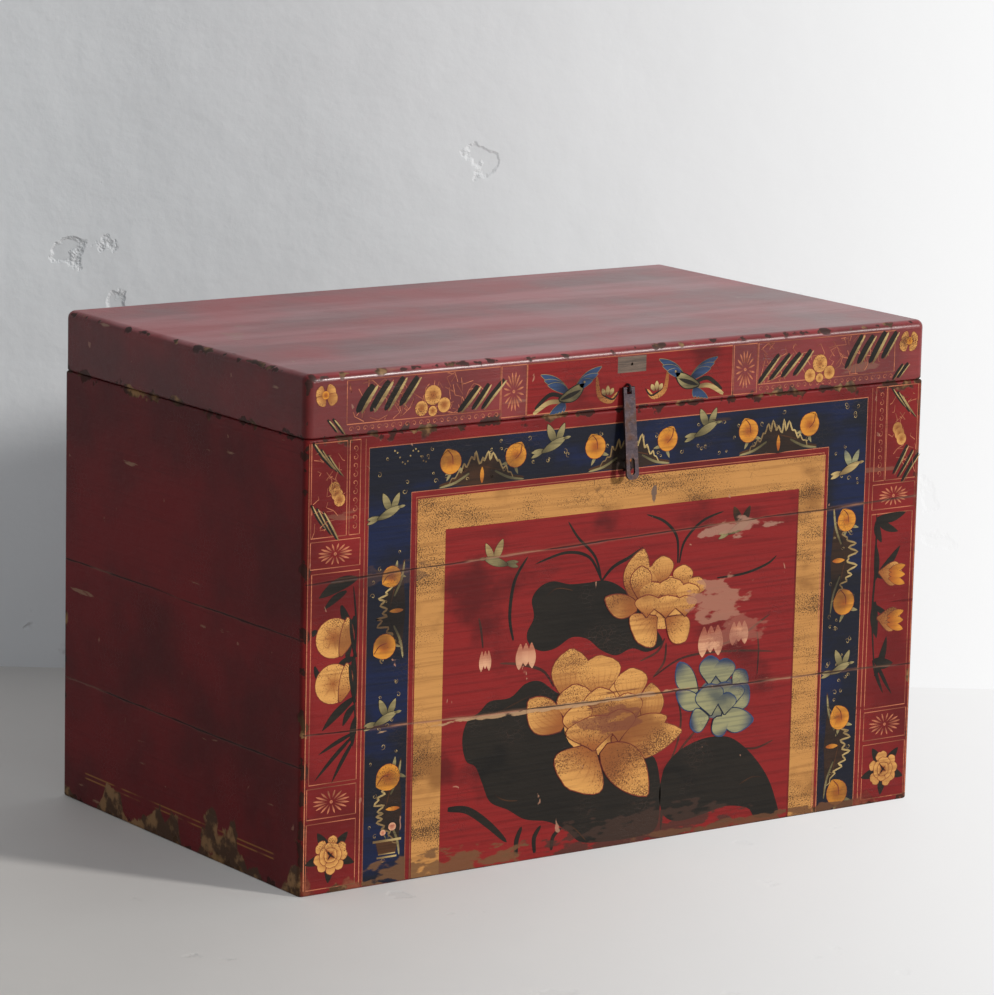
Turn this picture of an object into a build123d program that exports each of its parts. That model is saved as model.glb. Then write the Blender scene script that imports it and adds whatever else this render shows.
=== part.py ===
# A painted trunk: a plank box with a hinged cap lid, an iron hasp and loop hinges.
# Millimetres. +X runs along the front, +Z is up and the front faces -Y.
# The origin is at the centre of the base, on the surface that the chest stands on.
import os
from math import asin, cos, degrees, radians, sin, sqrt, tan

from build123d import *

os.makedirs("parts", exist_ok=True)

# Overall sizes
WIDTH = 780.0
DEPTH = 468.0
BODY_HEIGHT = 459.0
LID_HEIGHT = 63.5
LID_GAP = 0.4

# Timber thicknesses
WALL = 22.0
TOP_BOARD = 10.0
FLOOR_BOARD = 14.0
FLOOR_RAISE = 6.0
BATTEN_WIDTH = 30.0
BATTEN_THICKNESS = 12.0
BATTEN_SPREAD = 380.0

# Worn roundings of the outside edges
BODY_CORNER = 6.0
LID_CORNER = 9.0
LID_TOP_EDGE = 8.0
SEAM_EDGE = 2.5

# Plank seams: the long walls' seams slant, because their planks taper
LOWER_SEAM_LEFT = 164.0
LOWER_SEAM_RIGHT = 150.5
UPPER_SEAM_LEFT = 315.5
UPPER_SEAM_RIGHT = 334.0
END_LOWER_SEAM = 131.0
END_UPPER_SEAM = 259.0
BACK_TOP_BOARD = 220.0
FLOOR_BOARDS = 3

# Dovetails at the corners
TAIL_COUNT = 6
PIN_TIP = 26.5
TAIL_SLOPE = 10.0
LID_TAIL_TIP = 26.0

# Bamboo pins: dowels in the seams, pegs through walls and top, all whittled to eight sides
BAR_SIDES = 8
DOWEL_RADIUS = 3.0
DOWEL_LENGTH = 36.0
LONG_DOWEL_SPREAD = 500.0
END_DOWEL_SPREAD = 240.0
PEG_RADIUS = 2.5
FLOOR_PEG_LENGTH = 50.0
RAIL_PEG_LENGTH = 34.0
BATTEN_PEG_LENGTH = 20.0
PEG_FIT = 0.1
LONG_PEG_PITCH = 140.0
END_PEG_OFFSET = 40.0
TOP_PEG_PITCH = 220.0
TOP_END_PEG_SPREAD = 200.0
BATTEN_PEG_PITCH = 105.0

# Loop hinges: two linked wire pins on each side
HINGE_SPREAD = 460.0
HINGE_REACH = 8.0
HINGE_WIRE = 1.8
HINGE_PLAY = 0.5
LEG_GAP = 0.5

# Hasp, its staple on the lid and the lock staple on the body
HASP_X = -4.0
HASP_RISE = 21.6
HASP_REACH = 3.0
HASP_TOP_WIDTH = 14.0
HASP_END_WIDTH = 15.5
HASP_THICKNESS = 2.5
HASP_BAR_RADIUS = 1.4
HASP_WINDOW_WIDTH = 6.0
HASP_WINDOW_END = 6.2
HASP_SLOT_LENGTH = 17.0
HASP_SLOT_WIDTH = 6.0
HASP_TAIL = 5.0
STAPLE_WIRE = 1.4
STAPLE_PLAY = 0.4
LOCK_DROP = 58.0
LOCK_EYE = 3.4
SHACKLE_ROOM = 4.6
REST_CLEARANCE = 0.3

# Pins of hammered wire, clenched over on the inside
WIRE_SIDES = 8
PIN_FIT = 0.25
CLENCH_LENGTH = 12.0
CLENCH_LIFT = 0.6
CLENCH_SETTLE = 0.4
NOSE_FLAT = 0.1

# Repair block let into the lid's front rail
PATCH_WIDTH = 36.0
PATCH_HEIGHT = 16.5
PATCH_DEPTH = 6.0
PATCH_X = 2.0
PATCH_HOLE_RADIUS = 1.5

# Worked-out places
LID_BASE = BODY_HEIGHT + LID_GAP
LID_TOP = LID_BASE + LID_HEIGHT
RAIL_TOP = LID_TOP - TOP_BOARD
RAIL_HEIGHT = RAIL_TOP - LID_BASE
FRONT_Y = -DEPTH / 2
BACK_Y = DEPTH / 2
INNER_WIDTH = WIDTH - 2 * WALL
INNER_DEPTH = DEPTH - 2 * WALL
TOP_SEAM_Y = BACK_Y - BACK_TOP_BOARD
FLOOR_PEG_Z = FLOOR_RAISE + FLOOR_BOARD / 2
FLOOR_PLANK = INNER_DEPTH / FLOOR_BOARDS
TAIL_PITCH = BODY_HEIGHT / TAIL_COUNT

HINGE_Y = BACK_Y + HINGE_REACH
HINGE_Z = BODY_HEIGHT + LID_GAP / 2
HINGE_EYE = 2 * HINGE_WIRE + HINGE_PLAY
HINGE_LEG = HINGE_WIRE + LEG_GAP / 2

PIVOT_Y = FRONT_Y - HASP_REACH
PIVOT_Z = LID_BASE + HASP_RISE
LOCK_Z = BODY_HEIGHT - LOCK_DROP
LOCK_BELOW_PIVOT = PIVOT_Z - LOCK_Z
SLOT_END = LOCK_BELOW_PIVOT + HASP_SLOT_LENGTH / 2
HASP_END = SLOT_END + HASP_TAIL
LOCK_NOSE = HASP_REACH + HASP_THICKNESS / 2 + REST_CLEARANCE + SHACKLE_ROOM + STAPLE_WIRE
LOCK_TIP = LOCK_NOSE + STAPLE_WIRE
HASP_TILT = degrees(
    asin((LOCK_TIP + REST_CLEARANCE - HASP_REACH + HASP_THICKNESS / 2) / SLOT_END)
)

print(f"hasp rests {HASP_TILT:.3f} degrees off the wall, pivot at y {PIVOT_Y:.2f} z {PIVOT_Z:.2f}")
print(f"hinge axis at y {HINGE_Y:.2f} z {HINGE_Z:.2f}")


def finish(piece, name):
    """Label a finished piece and write it under its own name."""
    piece.part.label = name
    export_step(piece.part, f"parts/{name}.step")


def rounded_block(low, high, corner, top_edge, bottom_edge):
    """The outer form that a ring of boards is rounded to."""
    with BuildPart() as block:
        with BuildSketch(Plane.XY.offset(low)):
            RectangleRounded(WIDTH, DEPTH, corner)
        extrude(amount=high - low)
        fillet(block.faces().sort_by(Axis.Z)[-1].edges(), top_edge)
        fillet(block.faces().sort_by(Axis.Z)[0].edges(), bottom_edge)
    return block.part


body_form = rounded_block(0, BODY_HEIGHT, BODY_CORNER, SEAM_EDGE, SEAM_EDGE)
lid_form = rounded_block(LID_BASE, LID_TOP, LID_CORNER, LID_TOP_EDGE, SEAM_EDGE)


def tail_points(side, middle, tip):
    """A dovetail seen from the chest's end, wide at the face of the long wall."""
    root_y = side * INNER_DEPTH / 2
    tip_y = side * DEPTH / 2
    root = tip / 2 - WALL * tan(radians(TAIL_SLOPE))
    points = [
        (root_y, middle - root),
        (tip_y, middle - tip / 2),
        (tip_y, middle + tip / 2),
        (root_y, middle + root),
    ]
    return points if side > 0 else points[::-1]


body_tails = [((i + 0.5) * TAIL_PITCH, TAIL_PITCH - PIN_TIP) for i in range(TAIL_COUNT)]
lid_tails = [(LID_BASE + RAIL_HEIGHT / 2, LID_TAIL_TIP)]


def whittled_bar(start, direction, radius, length):
    """A straight eight-sided bar: a peg, a dowel or the hole for one."""
    with BuildPart() as bar:
        with BuildSketch(Plane(origin=start, z_dir=direction)):
            RegularPolygon(radius, BAR_SIDES)
        extrude(amount=length)
    return bar.part


# Seam dowels stand upright across each seam, in the middle of the wall
def seam_height(x, left, right):
    return left + (right - left) * (x / WIDTH + 0.5)


def dowel_spots_long(side):
    y = side * (DEPTH - WALL) / 2
    xs = [-LONG_DOWEL_SPREAD / 2, 0, LONG_DOWEL_SPREAD / 2]
    seams = [(LOWER_SEAM_LEFT, LOWER_SEAM_RIGHT), (UPPER_SEAM_LEFT, UPPER_SEAM_RIGHT)]
    return [Vector(x, y, seam_height(x, *seam)) for x in xs for seam in seams]


def dowel_spots_end(side):
    x = side * (WIDTH - WALL) / 2
    ys = [-END_DOWEL_SPREAD / 2, END_DOWEL_SPREAD / 2]
    return [Vector(x, y, z) for y in ys for z in (END_LOWER_SEAM, END_UPPER_SEAM)]


def dowels(spots, fit):
    """Dowels at the given seam points, or their holes when a fit is given."""
    length = DOWEL_LENGTH + 2 * fit
    return [
        whittled_bar(spot - Vector(0, 0, length / 2), (0, 0, 1), DOWEL_RADIUS + fit, length)
        for spot in spots
    ]


# Pegs hold the floor boards from outside and the top boards from above
def floor_pegs_long(side, fit):
    start_y = side * (DEPTH / 2 + fit)
    xs = [i * LONG_PEG_PITCH for i in (-2, -1, 0, 1, 2)]
    return [
        whittled_bar(
            (x, start_y, FLOOR_PEG_Z), (0, -side, 0), PEG_RADIUS + fit, FLOOR_PEG_LENGTH + 2 * fit
        )
        for x in xs
    ]


def floor_pegs_end(side, fit):
    start_x = side * (WIDTH / 2 + fit)
    middles = [(i + 0.5) * FLOOR_PLANK - INNER_DEPTH / 2 for i in range(FLOOR_BOARDS)]
    ys = [middle + step for middle in middles for step in (-END_PEG_OFFSET, END_PEG_OFFSET)]
    return [
        whittled_bar(
            (start_x, y, FLOOR_PEG_Z), (-side, 0, 0), PEG_RADIUS + fit, FLOOR_PEG_LENGTH + 2 * fit
        )
        for y in ys
    ]


def top_pegs(spots, length, fit):
    return [
        whittled_bar(
            (x, y, LID_TOP + fit), (0, 0, -1), PEG_RADIUS + fit, length + 2 * fit
        )
        for x, y in spots
    ]


def rail_peg_spots():
    xs = [i * TOP_PEG_PITCH for i in (-1.5, -0.5, 0.5, 1.5)]
    long_rails = [(x, side * (DEPTH - WALL) / 2) for x in xs for side in (-1, 1)]
    ends = [
        (side * (WIDTH - WALL) / 2, half * TOP_END_PEG_SPREAD / 2)
        for side in (-1, 1)
        for half in (-1, 1)
    ]
    return long_rails + ends


def batten_peg_spots():
    ys = [i * BATTEN_PEG_PITCH for i in (-1.5, -0.5, 0.5, 1.5)]
    return [(side * BATTEN_SPREAD / 2, y) for side in (-1, 1) for y in ys]


# Bent wire pins: an eye outside, two legs through the wood and two clenched tips
def wire_points(anchor, shank, across, clench, eye, leg, nose, neck, tip_y):
    """Corners of the wire's centre line, from one clenched tip to the other."""
    settle = CLENCH_SETTLE if shank.Y < 0 else -CLENCH_SETTLE
    sides = []
    for side in (-1, 1):
        start = anchor + across * (side * leg)
        bend = start + shank * ((tip_y - start.Y) / shank.Y)
        tip = bend + clench * (side * CLENCH_LENGTH) + Vector(0, settle, 0)
        corners = [tip, bend]
        if neck:
            corners.append(anchor + across * (side * leg) + shank * neck[1])
            corners.append(anchor + across * (side * eye) + shank * neck[0])
        corners.append(anchor + across * (side * eye) + shank * nose)
        sides.append(corners)
    return sides[0] + sides[1][::-1]


def wire_pin(points, wire, radii):
    """One wire bent along the given corners."""
    with BuildPart() as pin:
        with BuildLine() as route:
            FilletPolyline(*points, radius=radii)
        with BuildSketch(Plane(origin=points[0], z_dir=points[1] - points[0])):
            RegularPolygon(wire, WIRE_SIDES)
        sweep(path=route.wire())
    return pin


def leg_slot(anchor, shank, across, length):
    """The slot through the wood that holds a hinge pin's two legs side by side."""
    with BuildPart() as slot:
        with BuildSketch(Plane(origin=anchor, x_dir=across, z_dir=shank)):
            SlotOverall(2 * (HINGE_LEG + HINGE_WIRE + PIN_FIT), 2 * (HINGE_WIRE + PIN_FIT))
        extrude(amount=length)
    return slot.part


def staple_holes(z, half_width):
    """Two round holes through the front for a staple's legs."""
    return [
        whittled_bar((HASP_X, FRONT_Y - 1, z + side * half_width), (0, 1, 0), STAPLE_WIRE + PIN_FIT, WALL + 2)
        for side in (-1, 1)
    ]


HINGE_XS = {"left": -HINGE_SPREAD / 2, "right": HINGE_SPREAD / 2}
BODY_SHANK = Vector(0, -1, -1).normalized()
LID_SHANK = Vector(0, -1, 1).normalized()
BODY_ACROSS = Vector(0, -1, 1).normalized()
LID_ACROSS = Vector(1, 0, 0)
HINGE_SLOT_LENGTH = (HINGE_REACH + WALL) * sqrt(2) + 10
HASP_STAPLE_EYE = HASP_BAR_RADIUS + STAPLE_PLAY + STAPLE_WIRE
LOCK_STAPLE_EYE = LOCK_EYE + STAPLE_WIRE


# Long walls: three tapering planks at the front and three at the back
def long_plank(side, low, high, cutters):
    """A plank of the front (side -1) or back (side 1) wall, cut for the end walls' tails."""
    with BuildPart() as plank:
        with BuildSketch(Plane.XZ.offset(INNER_DEPTH / 2 if side < 0 else -DEPTH / 2)):
            Polygon(
                (-WIDTH / 2, low[0]),
                (WIDTH / 2, low[1]),
                (WIDTH / 2, high[1]),
                (-WIDTH / 2, high[0]),
                align=None,
            )
        extrude(amount=WALL)
        for start_x in (-WIDTH / 2, WIDTH / 2 - WALL):
            with BuildSketch(Plane.YZ.offset(start_x)):
                for middle, tip in body_tails:
                    Polygon(*tail_points(side, middle, tip), align=None)
            extrude(amount=WALL, mode=Mode.SUBTRACT)
        add(body_form, mode=Mode.INTERSECT)
        add(cutters, mode=Mode.SUBTRACT)
    return plank


long_seams = [
    (0, 0),
    (LOWER_SEAM_LEFT, LOWER_SEAM_RIGHT),
    (UPPER_SEAM_LEFT, UPPER_SEAM_RIGHT),
    (BODY_HEIGHT, BODY_HEIGHT),
]
LEVELS = ("bottom", "middle", "top")

hinge_anchors = {name: Vector(x, HINGE_Y, HINGE_Z) for name, x in HINGE_XS.items()}
body_hinge_slots = [
    leg_slot(anchor, BODY_SHANK, BODY_ACROSS, HINGE_SLOT_LENGTH)
    for anchor in hinge_anchors.values()
]
lid_hinge_slots = [
    leg_slot(anchor, LID_SHANK, LID_ACROSS, HINGE_SLOT_LENGTH)
    for anchor in hinge_anchors.values()
]
lock_holes = staple_holes(LOCK_Z, LOCK_STAPLE_EYE)

for side, wall in ((-1, "front"), (1, "back")):
    dowel_holes = dowels(dowel_spots_long(side), PEG_FIT)
    for level, name in enumerate(LEVELS):
        cutters = list(dowel_holes)
        if name == "bottom":
            cutters += floor_pegs_long(side, PEG_FIT)
        if name == "top":
            cutters += lock_holes if side < 0 else body_hinge_slots
        board = long_plank(side, long_seams[level], long_seams[level + 1], cutters)
        finish(board, f"{wall}_board_{name}")


# End walls: three level planks on each end, with the dovetails
def end_plank(side, low, high, cutters):
    """A plank of the left (side -1) or right (side 1) end wall."""
    with BuildPart() as plank:
        with BuildSketch(Plane.YZ.offset(-WIDTH / 2 if side < 0 else INNER_WIDTH / 2)):
            with Locations((0, BODY_HEIGHT / 2)):
                Rectangle(INNER_DEPTH, BODY_HEIGHT)
            for middle, tip in body_tails:
                Polygon(*tail_points(-1, middle, tip), align=None)
                Polygon(*tail_points(1, middle, tip), align=None)
            with Locations((0, (low + high) / 2)):
                Rectangle(DEPTH, high - low, mode=Mode.INTERSECT)
        extrude(amount=WALL)
        add(body_form, mode=Mode.INTERSECT)
        add(cutters, mode=Mode.SUBTRACT)
    return plank


end_seams = [0, END_LOWER_SEAM, END_UPPER_SEAM, BODY_HEIGHT]
for side, wall in ((-1, "left"), (1, "right")):
    dowel_holes = dowels(dowel_spots_end(side), PEG_FIT)
    for level, name in enumerate(LEVELS):
        cutters = list(dowel_holes)
        if name == "bottom":
            cutters += floor_pegs_end(side, PEG_FIT)
        board = end_plank(side, end_seams[level], end_seams[level + 1], cutters)
        finish(board, f"{wall}_board_{name}")


# Floor boards lie between the walls, a little above the ground
floor_holes = [
    hole
    for side in (-1, 1)
    for hole in floor_pegs_long(side, PEG_FIT) + floor_pegs_end(side, PEG_FIT)
]
for i, name in enumerate(("front", "middle", "back")):
    with BuildPart() as floor_board:
        with BuildSketch(Plane.XY.offset(FLOOR_RAISE)):
            with Locations((0, (i + 0.5) * FLOOR_PLANK - INNER_DEPTH / 2)):
                Rectangle(INNER_WIDTH, FLOOR_PLANK)
        extrude(amount=FLOOR_BOARD)
        add(floor_holes, mode=Mode.SUBTRACT)
    finish(floor_board, f"floor_board_{name}")

with BuildPart() as floor_pegs:
    for side in (-1, 1):
        add(floor_pegs_long(side, 0))
        add(floor_pegs_end(side, 0))
finish(floor_pegs, "floor_pegs")

with BuildPart() as seam_dowels:
    for side in (-1, 1):
        add(dowels(dowel_spots_long(side), 0))
        add(dowels(dowel_spots_end(side), 0))
finish(seam_dowels, "seam_dowels")


# Lid rails: a shallow dovetailed frame
def long_rail(side, cutters):
    """The lid's front (side -1) or back (side 1) rail."""
    with BuildPart() as rail:
        with BuildSketch(Plane.XZ.offset(INNER_DEPTH / 2 if side < 0 else -DEPTH / 2)):
            with Locations((0, LID_BASE + RAIL_HEIGHT / 2)):
                Rectangle(WIDTH, RAIL_HEIGHT)
        extrude(amount=WALL)
        for start_x in (-WIDTH / 2, WIDTH / 2 - WALL):
            with BuildSketch(Plane.YZ.offset(start_x)):
                for middle, tip in lid_tails:
                    Polygon(*tail_points(side, middle, tip), align=None)
            extrude(amount=WALL, mode=Mode.SUBTRACT)
        add(lid_form, mode=Mode.INTERSECT)
        add(cutters, mode=Mode.SUBTRACT)
    return rail


def end_rail(side, cutters):
    """The lid's left (side -1) or right (side 1) rail."""
    with BuildPart() as rail:
        with BuildSketch(Plane.YZ.offset(-WIDTH / 2 if side < 0 else INNER_WIDTH / 2)):
            with Locations((0, LID_BASE + RAIL_HEIGHT / 2)):
                Rectangle(INNER_DEPTH, RAIL_HEIGHT)
            for middle, tip in lid_tails:
                Polygon(*tail_points(-1, middle, tip), align=None)
                Polygon(*tail_points(1, middle, tip), align=None)
        extrude(amount=WALL)
        add(lid_form, mode=Mode.INTERSECT)
        add(cutters, mode=Mode.SUBTRACT)
    return rail


PATCH_Z = RAIL_TOP - PATCH_HEIGHT / 2
PATCH_PLANE = Plane(origin=(PATCH_X, FRONT_Y, PATCH_Z), x_dir=(1, 0, 0), z_dir=(0, 1, 0))
with BuildPart() as lid_patch:
    with BuildSketch(PATCH_PLANE):
        Rectangle(PATCH_WIDTH, PATCH_HEIGHT)
        Circle(PATCH_HOLE_RADIUS, mode=Mode.SUBTRACT)
    extrude(amount=PATCH_DEPTH)
finish(lid_patch, "lid_patch")

with BuildPart() as patch_recess:
    with BuildSketch(PATCH_PLANE):
        Rectangle(PATCH_WIDTH, PATCH_HEIGHT)
    extrude(amount=PATCH_DEPTH)

rail_peg_holes = top_pegs(rail_peg_spots(), RAIL_PEG_LENGTH, PEG_FIT)
batten_peg_holes = top_pegs(batten_peg_spots(), BATTEN_PEG_LENGTH, PEG_FIT)
hasp_staple_holes = staple_holes(PIVOT_Z, HASP_STAPLE_EYE)

front_cutters = [patch_recess.part] + hasp_staple_holes + rail_peg_holes
finish(long_rail(-1, front_cutters), "lid_rail_front")
finish(long_rail(1, lid_hinge_slots + rail_peg_holes), "lid_rail_back")
finish(end_rail(-1, rail_peg_holes), "lid_rail_left")
finish(end_rail(1, rail_peg_holes), "lid_rail_right")

# The top is two boards laid over the rails and rounded with them
for name, low_y, high_y in (
    ("front", FRONT_Y, TOP_SEAM_Y),
    ("back", TOP_SEAM_Y, BACK_Y),
):
    with BuildPart() as top_board:
        with BuildSketch(Plane.XY.offset(RAIL_TOP)):
            with Locations((0, (low_y + high_y) / 2)):
                Rectangle(WIDTH, high_y - low_y)
        extrude(amount=TOP_BOARD)
        add(lid_form, mode=Mode.INTERSECT)
        add(rail_peg_holes + batten_peg_holes, mode=Mode.SUBTRACT)
    finish(top_board, f"lid_board_{name}")

# Two battens under the top keep its boards flat
for side, name in ((-1, "left"), (1, "right")):
    with BuildPart() as batten:
        with BuildSketch(Plane.XY.offset(RAIL_TOP - BATTEN_THICKNESS)):
            with Locations((side * BATTEN_SPREAD / 2, 0)):
                Rectangle(BATTEN_WIDTH, INNER_DEPTH)
        extrude(amount=BATTEN_THICKNESS)
        add(batten_peg_holes, mode=Mode.SUBTRACT)
    finish(batten, f"lid_batten_{name}")

with BuildPart() as lid_pegs:
    add(top_pegs(rail_peg_spots(), RAIL_PEG_LENGTH, 0))
    add(top_pegs(batten_peg_spots(), BATTEN_PEG_LENGTH, 0))
finish(lid_pegs, "lid_pegs")

# Hinges: the body's pin has a round eye, and the lid's pin has a bar that lies in it
CLENCH_Y_BACK = INNER_DEPTH / 2 - HINGE_WIRE - CLENCH_LIFT
BEND_RADIUS = 3.0
NECK_RADIUS = 3.0
BAR_CORNER = 2.2
BODY_NECK = (1.5, 5.5)
LID_NECK = (HINGE_EYE + HINGE_WIRE + HINGE_PLAY, HINGE_REACH * sqrt(2) - HINGE_WIRE)
eye_corner = HINGE_EYE - NOSE_FLAT
for name, anchor in hinge_anchors.items():
    body_points = wire_points(
        anchor, BODY_SHANK, BODY_ACROSS, LID_ACROSS,
        HINGE_EYE, HINGE_LEG, -HINGE_EYE, BODY_NECK, CLENCH_Y_BACK,
    )
    body_radii = [
        BEND_RADIUS, NECK_RADIUS, NECK_RADIUS, eye_corner,
        eye_corner, NECK_RADIUS, NECK_RADIUS, BEND_RADIUS,
    ]
    finish(wire_pin(body_points, HINGE_WIRE, body_radii), f"hinge_pin_body_{name}")

    lid_points = wire_points(
        anchor, LID_SHANK, LID_ACROSS, LID_ACROSS,
        HINGE_EYE, HINGE_LEG, 0, LID_NECK, CLENCH_Y_BACK,
    )
    lid_radii = [
        BEND_RADIUS, NECK_RADIUS, NECK_RADIUS, BAR_CORNER,
        BAR_CORNER, NECK_RADIUS, NECK_RADIUS, BEND_RADIUS,
    ]
    finish(wire_pin(lid_points, HINGE_WIRE, lid_radii), f"hinge_pin_lid_{name}")

# Staples on the front: one carries the hasp, the other takes the padlock
CLENCH_Y_FRONT = -INNER_DEPTH / 2 + STAPLE_WIRE + CLENCH_LIFT
STAPLE_BEND = 2.6
INTO_FRONT = Vector(0, 1, 0)
UPRIGHT = Vector(0, 0, 1)
for name, height, eye, nose in (
    ("hasp_staple", PIVOT_Z, HASP_STAPLE_EYE, HASP_REACH + HASP_STAPLE_EYE),
    ("lock_staple", LOCK_Z, LOCK_STAPLE_EYE, LOCK_NOSE),
):
    anchor = Vector(HASP_X, FRONT_Y, height)
    points = wire_points(
        anchor, INTO_FRONT, UPRIGHT, UPRIGHT, eye, eye, -nose, None, CLENCH_Y_FRONT
    )
    nose_corner = eye - NOSE_FLAT
    radii = [STAPLE_BEND, nose_corner, nose_corner, STAPLE_BEND]
    finish(wire_pin(points, STAPLE_WIRE, radii), name)

# Hasp: a strap that swings on its bar, with a slot that goes over the lock staple
tilt = radians(HASP_TILT)
HASP_PLANE = Plane(
    origin=(HASP_X, PIVOT_Y, PIVOT_Z), x_dir=(1, 0, 0), z_dir=(0, -cos(tilt), sin(tilt))
)
HASP_END_CORNER = 6.0
HASP_EDGE = 0.5
with BuildPart() as hasp:
    with BuildSketch(HASP_PLANE) as strap:
        Polygon(
            (-HASP_TOP_WIDTH / 2, 0),
            (-HASP_END_WIDTH / 2, -HASP_END),
            (HASP_END_WIDTH / 2, -HASP_END),
            (HASP_TOP_WIDTH / 2, 0),
            align=None,
        )
        fillet(strap.vertices().group_by(Axis.Y)[0], HASP_END_CORNER)
        with Locations((0, -HASP_WINDOW_END / 2)):
            Rectangle(HASP_WINDOW_WIDTH, HASP_WINDOW_END, mode=Mode.SUBTRACT)
        with Locations((0, -LOCK_BELOW_PIVOT)):
            SlotOverall(HASP_SLOT_LENGTH, HASP_SLOT_WIDTH, rotation=90, mode=Mode.SUBTRACT)
    extrude(amount=HASP_THICKNESS / 2, both=True)
    with BuildSketch(
        Plane(origin=(HASP_X - HASP_TOP_WIDTH / 2, PIVOT_Y, PIVOT_Z), z_dir=(1, 0, 0))
    ):
        Circle(HASP_BAR_RADIUS)
    extrude(amount=HASP_TOP_WIDTH)
finish(hasp, "hasp")
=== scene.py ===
"""Finishes and ornament of a painted lacquer chest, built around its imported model.

Everything painted on the front is a thin raised layer, as gesso and paint are: flat strips,
petals, leaves, birds and fruit are closed sheets a fraction of a millimetre proud of the boards.
Lengths are in metres in Blender. The painter's layout is in millimetres, measured across from
the front's left edge and down from the top edge of the body or of the lid.
"""
import math
import random

import bmesh
import bpy
from mathutils import Matrix, Vector
from mathutils.geometry import tessellate_polygon


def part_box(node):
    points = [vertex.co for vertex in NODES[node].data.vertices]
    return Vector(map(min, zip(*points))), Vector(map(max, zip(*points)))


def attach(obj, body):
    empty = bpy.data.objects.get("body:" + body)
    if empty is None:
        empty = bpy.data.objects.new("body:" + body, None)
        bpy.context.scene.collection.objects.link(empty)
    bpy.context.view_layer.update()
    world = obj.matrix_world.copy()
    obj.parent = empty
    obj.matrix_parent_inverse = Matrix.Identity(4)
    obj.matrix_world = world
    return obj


bl_info = {
    "name": "Painted chest",
    "version": (1, 0, 0),
    "blender": (4, 5, 0),
    "location": "3D View > Sidebar > Chest",
    "description": "Builds the lacquer, ornament, ironwork and stage of a painted chest",
    "category": "Object",
}

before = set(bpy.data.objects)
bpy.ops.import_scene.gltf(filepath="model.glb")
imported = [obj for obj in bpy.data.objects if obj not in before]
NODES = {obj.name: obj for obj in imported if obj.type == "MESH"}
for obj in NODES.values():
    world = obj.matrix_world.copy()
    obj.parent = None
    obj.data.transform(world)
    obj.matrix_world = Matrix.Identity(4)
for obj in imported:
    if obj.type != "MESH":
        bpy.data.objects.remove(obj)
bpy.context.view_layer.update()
MM = 0.001

BODY_LOW = Vector(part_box("left_board_bottom")[0])
BODY_HIGH = Vector(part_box("right_board_top")[1])
LID_LOW = Vector(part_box("lid_rail_left")[0])
LID_HIGH = Vector(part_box("lid_board_back")[1])
FRONT_Y = BODY_LOW.y
HALF_WIDTH = BODY_HIGH.x
HALF_DEPTH = BODY_HIGH.y
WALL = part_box("left_board_top")[1][0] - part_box("left_board_top")[0][0]

# Room between the bare inside and the lacquer, at the walls and under the lid's top
WALL_MARGIN = 0.0006
TOP_MARGIN = 0.009


def srgb(red, green, blue):
    """A linear colour from screen values of 0 to 255."""
    values = (red / 255, green / 255, blue / 255)
    return tuple(v / 12.92 if v <= 0.04045 else ((v + 0.055) / 1.055) ** 2.4 for v in values)


def colour_prop(name, description, value):
    """A colour value that the panel shows."""
    return bpy.props.FloatVectorProperty(
        name=name, description=description, subtype="COLOR", size=3, min=0, max=1, default=value
    )


class ChestPaints(bpy.types.PropertyGroup):
    """Colours of the lacquer and of the paints on it."""

    front_red: colour_prop("Front red", "Lacquer of the painted front", srgb(124, 27, 27))
    panel_red: colour_prop("Panel red", "Brighter red behind the lotus and birds", srgb(128, 27, 26))
    end_red: colour_prop("End red", "Lacquer of the ends and the back", srgb(106, 24, 27))
    top_red: colour_prop("Top red", "Faded lacquer of the lid's top", srgb(146, 34, 40))
    blue: colour_prop("Blue", "Deep blue of the border", srgb(14, 25, 58))
    blue_black: colour_prop("Blue black", "Darkened parts of the border", srgb(15, 15, 19))
    gold: colour_prop("Gold", "Aged gold of the frame", srgb(188, 134, 74))
    gold_deep: colour_prop("Deep gold", "Browned gold", srgb(150, 100, 48))
    petal_gold: colour_prop("Petal gold", "Pale gold of the lotus", srgb(206, 150, 82))
    petal_root: colour_prop("Petal root", "Orange gold at a petal's root", srgb(146, 84, 40))
    cream: colour_prop("Cream", "Pale paint of birds and sprigs", srgb(186, 160, 106))
    fruit: colour_prop("Fruit", "Orange gold of the fruit", srgb(204, 134, 46))
    leaf: colour_prop("Leaf", "Green black of leaves and stems", srgb(22, 18, 14))
    lotus_blue: colour_prop("Lotus blue", "Blue of the small lotus and lid birds", srgb(22, 44, 84))
    line: colour_prop("Line", "Thin gold pink lines", srgb(190, 116, 82))
    wood: colour_prop("Bare wood", "Wood where the lacquer is gone", srgb(138, 104, 68))
    inside_wood: colour_prop("Inside wood", "Unpainted wood inside", srgb(122, 92, 64))
    iron: colour_prop("Iron", "Dark rusted iron", srgb(58, 48, 52))


class ChestSizes(bpy.types.PropertyGroup):
    """Sizes of the painted work."""

    layer: bpy.props.FloatProperty(
        name="Paint layer", description="Height of one layer of paint", default=0.00004,
        unit="LENGTH", precision=6,
    )
    line_width: bpy.props.FloatProperty(
        name="Line width", description="Width of the thin gold lines, in millimetres", default=1.1
    )
    wear: bpy.props.FloatProperty(
        name="Wear", description="How much of the lacquer is rubbed away", default=0.5,
        min=0, max=1, subtype="FACTOR",
    )


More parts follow.
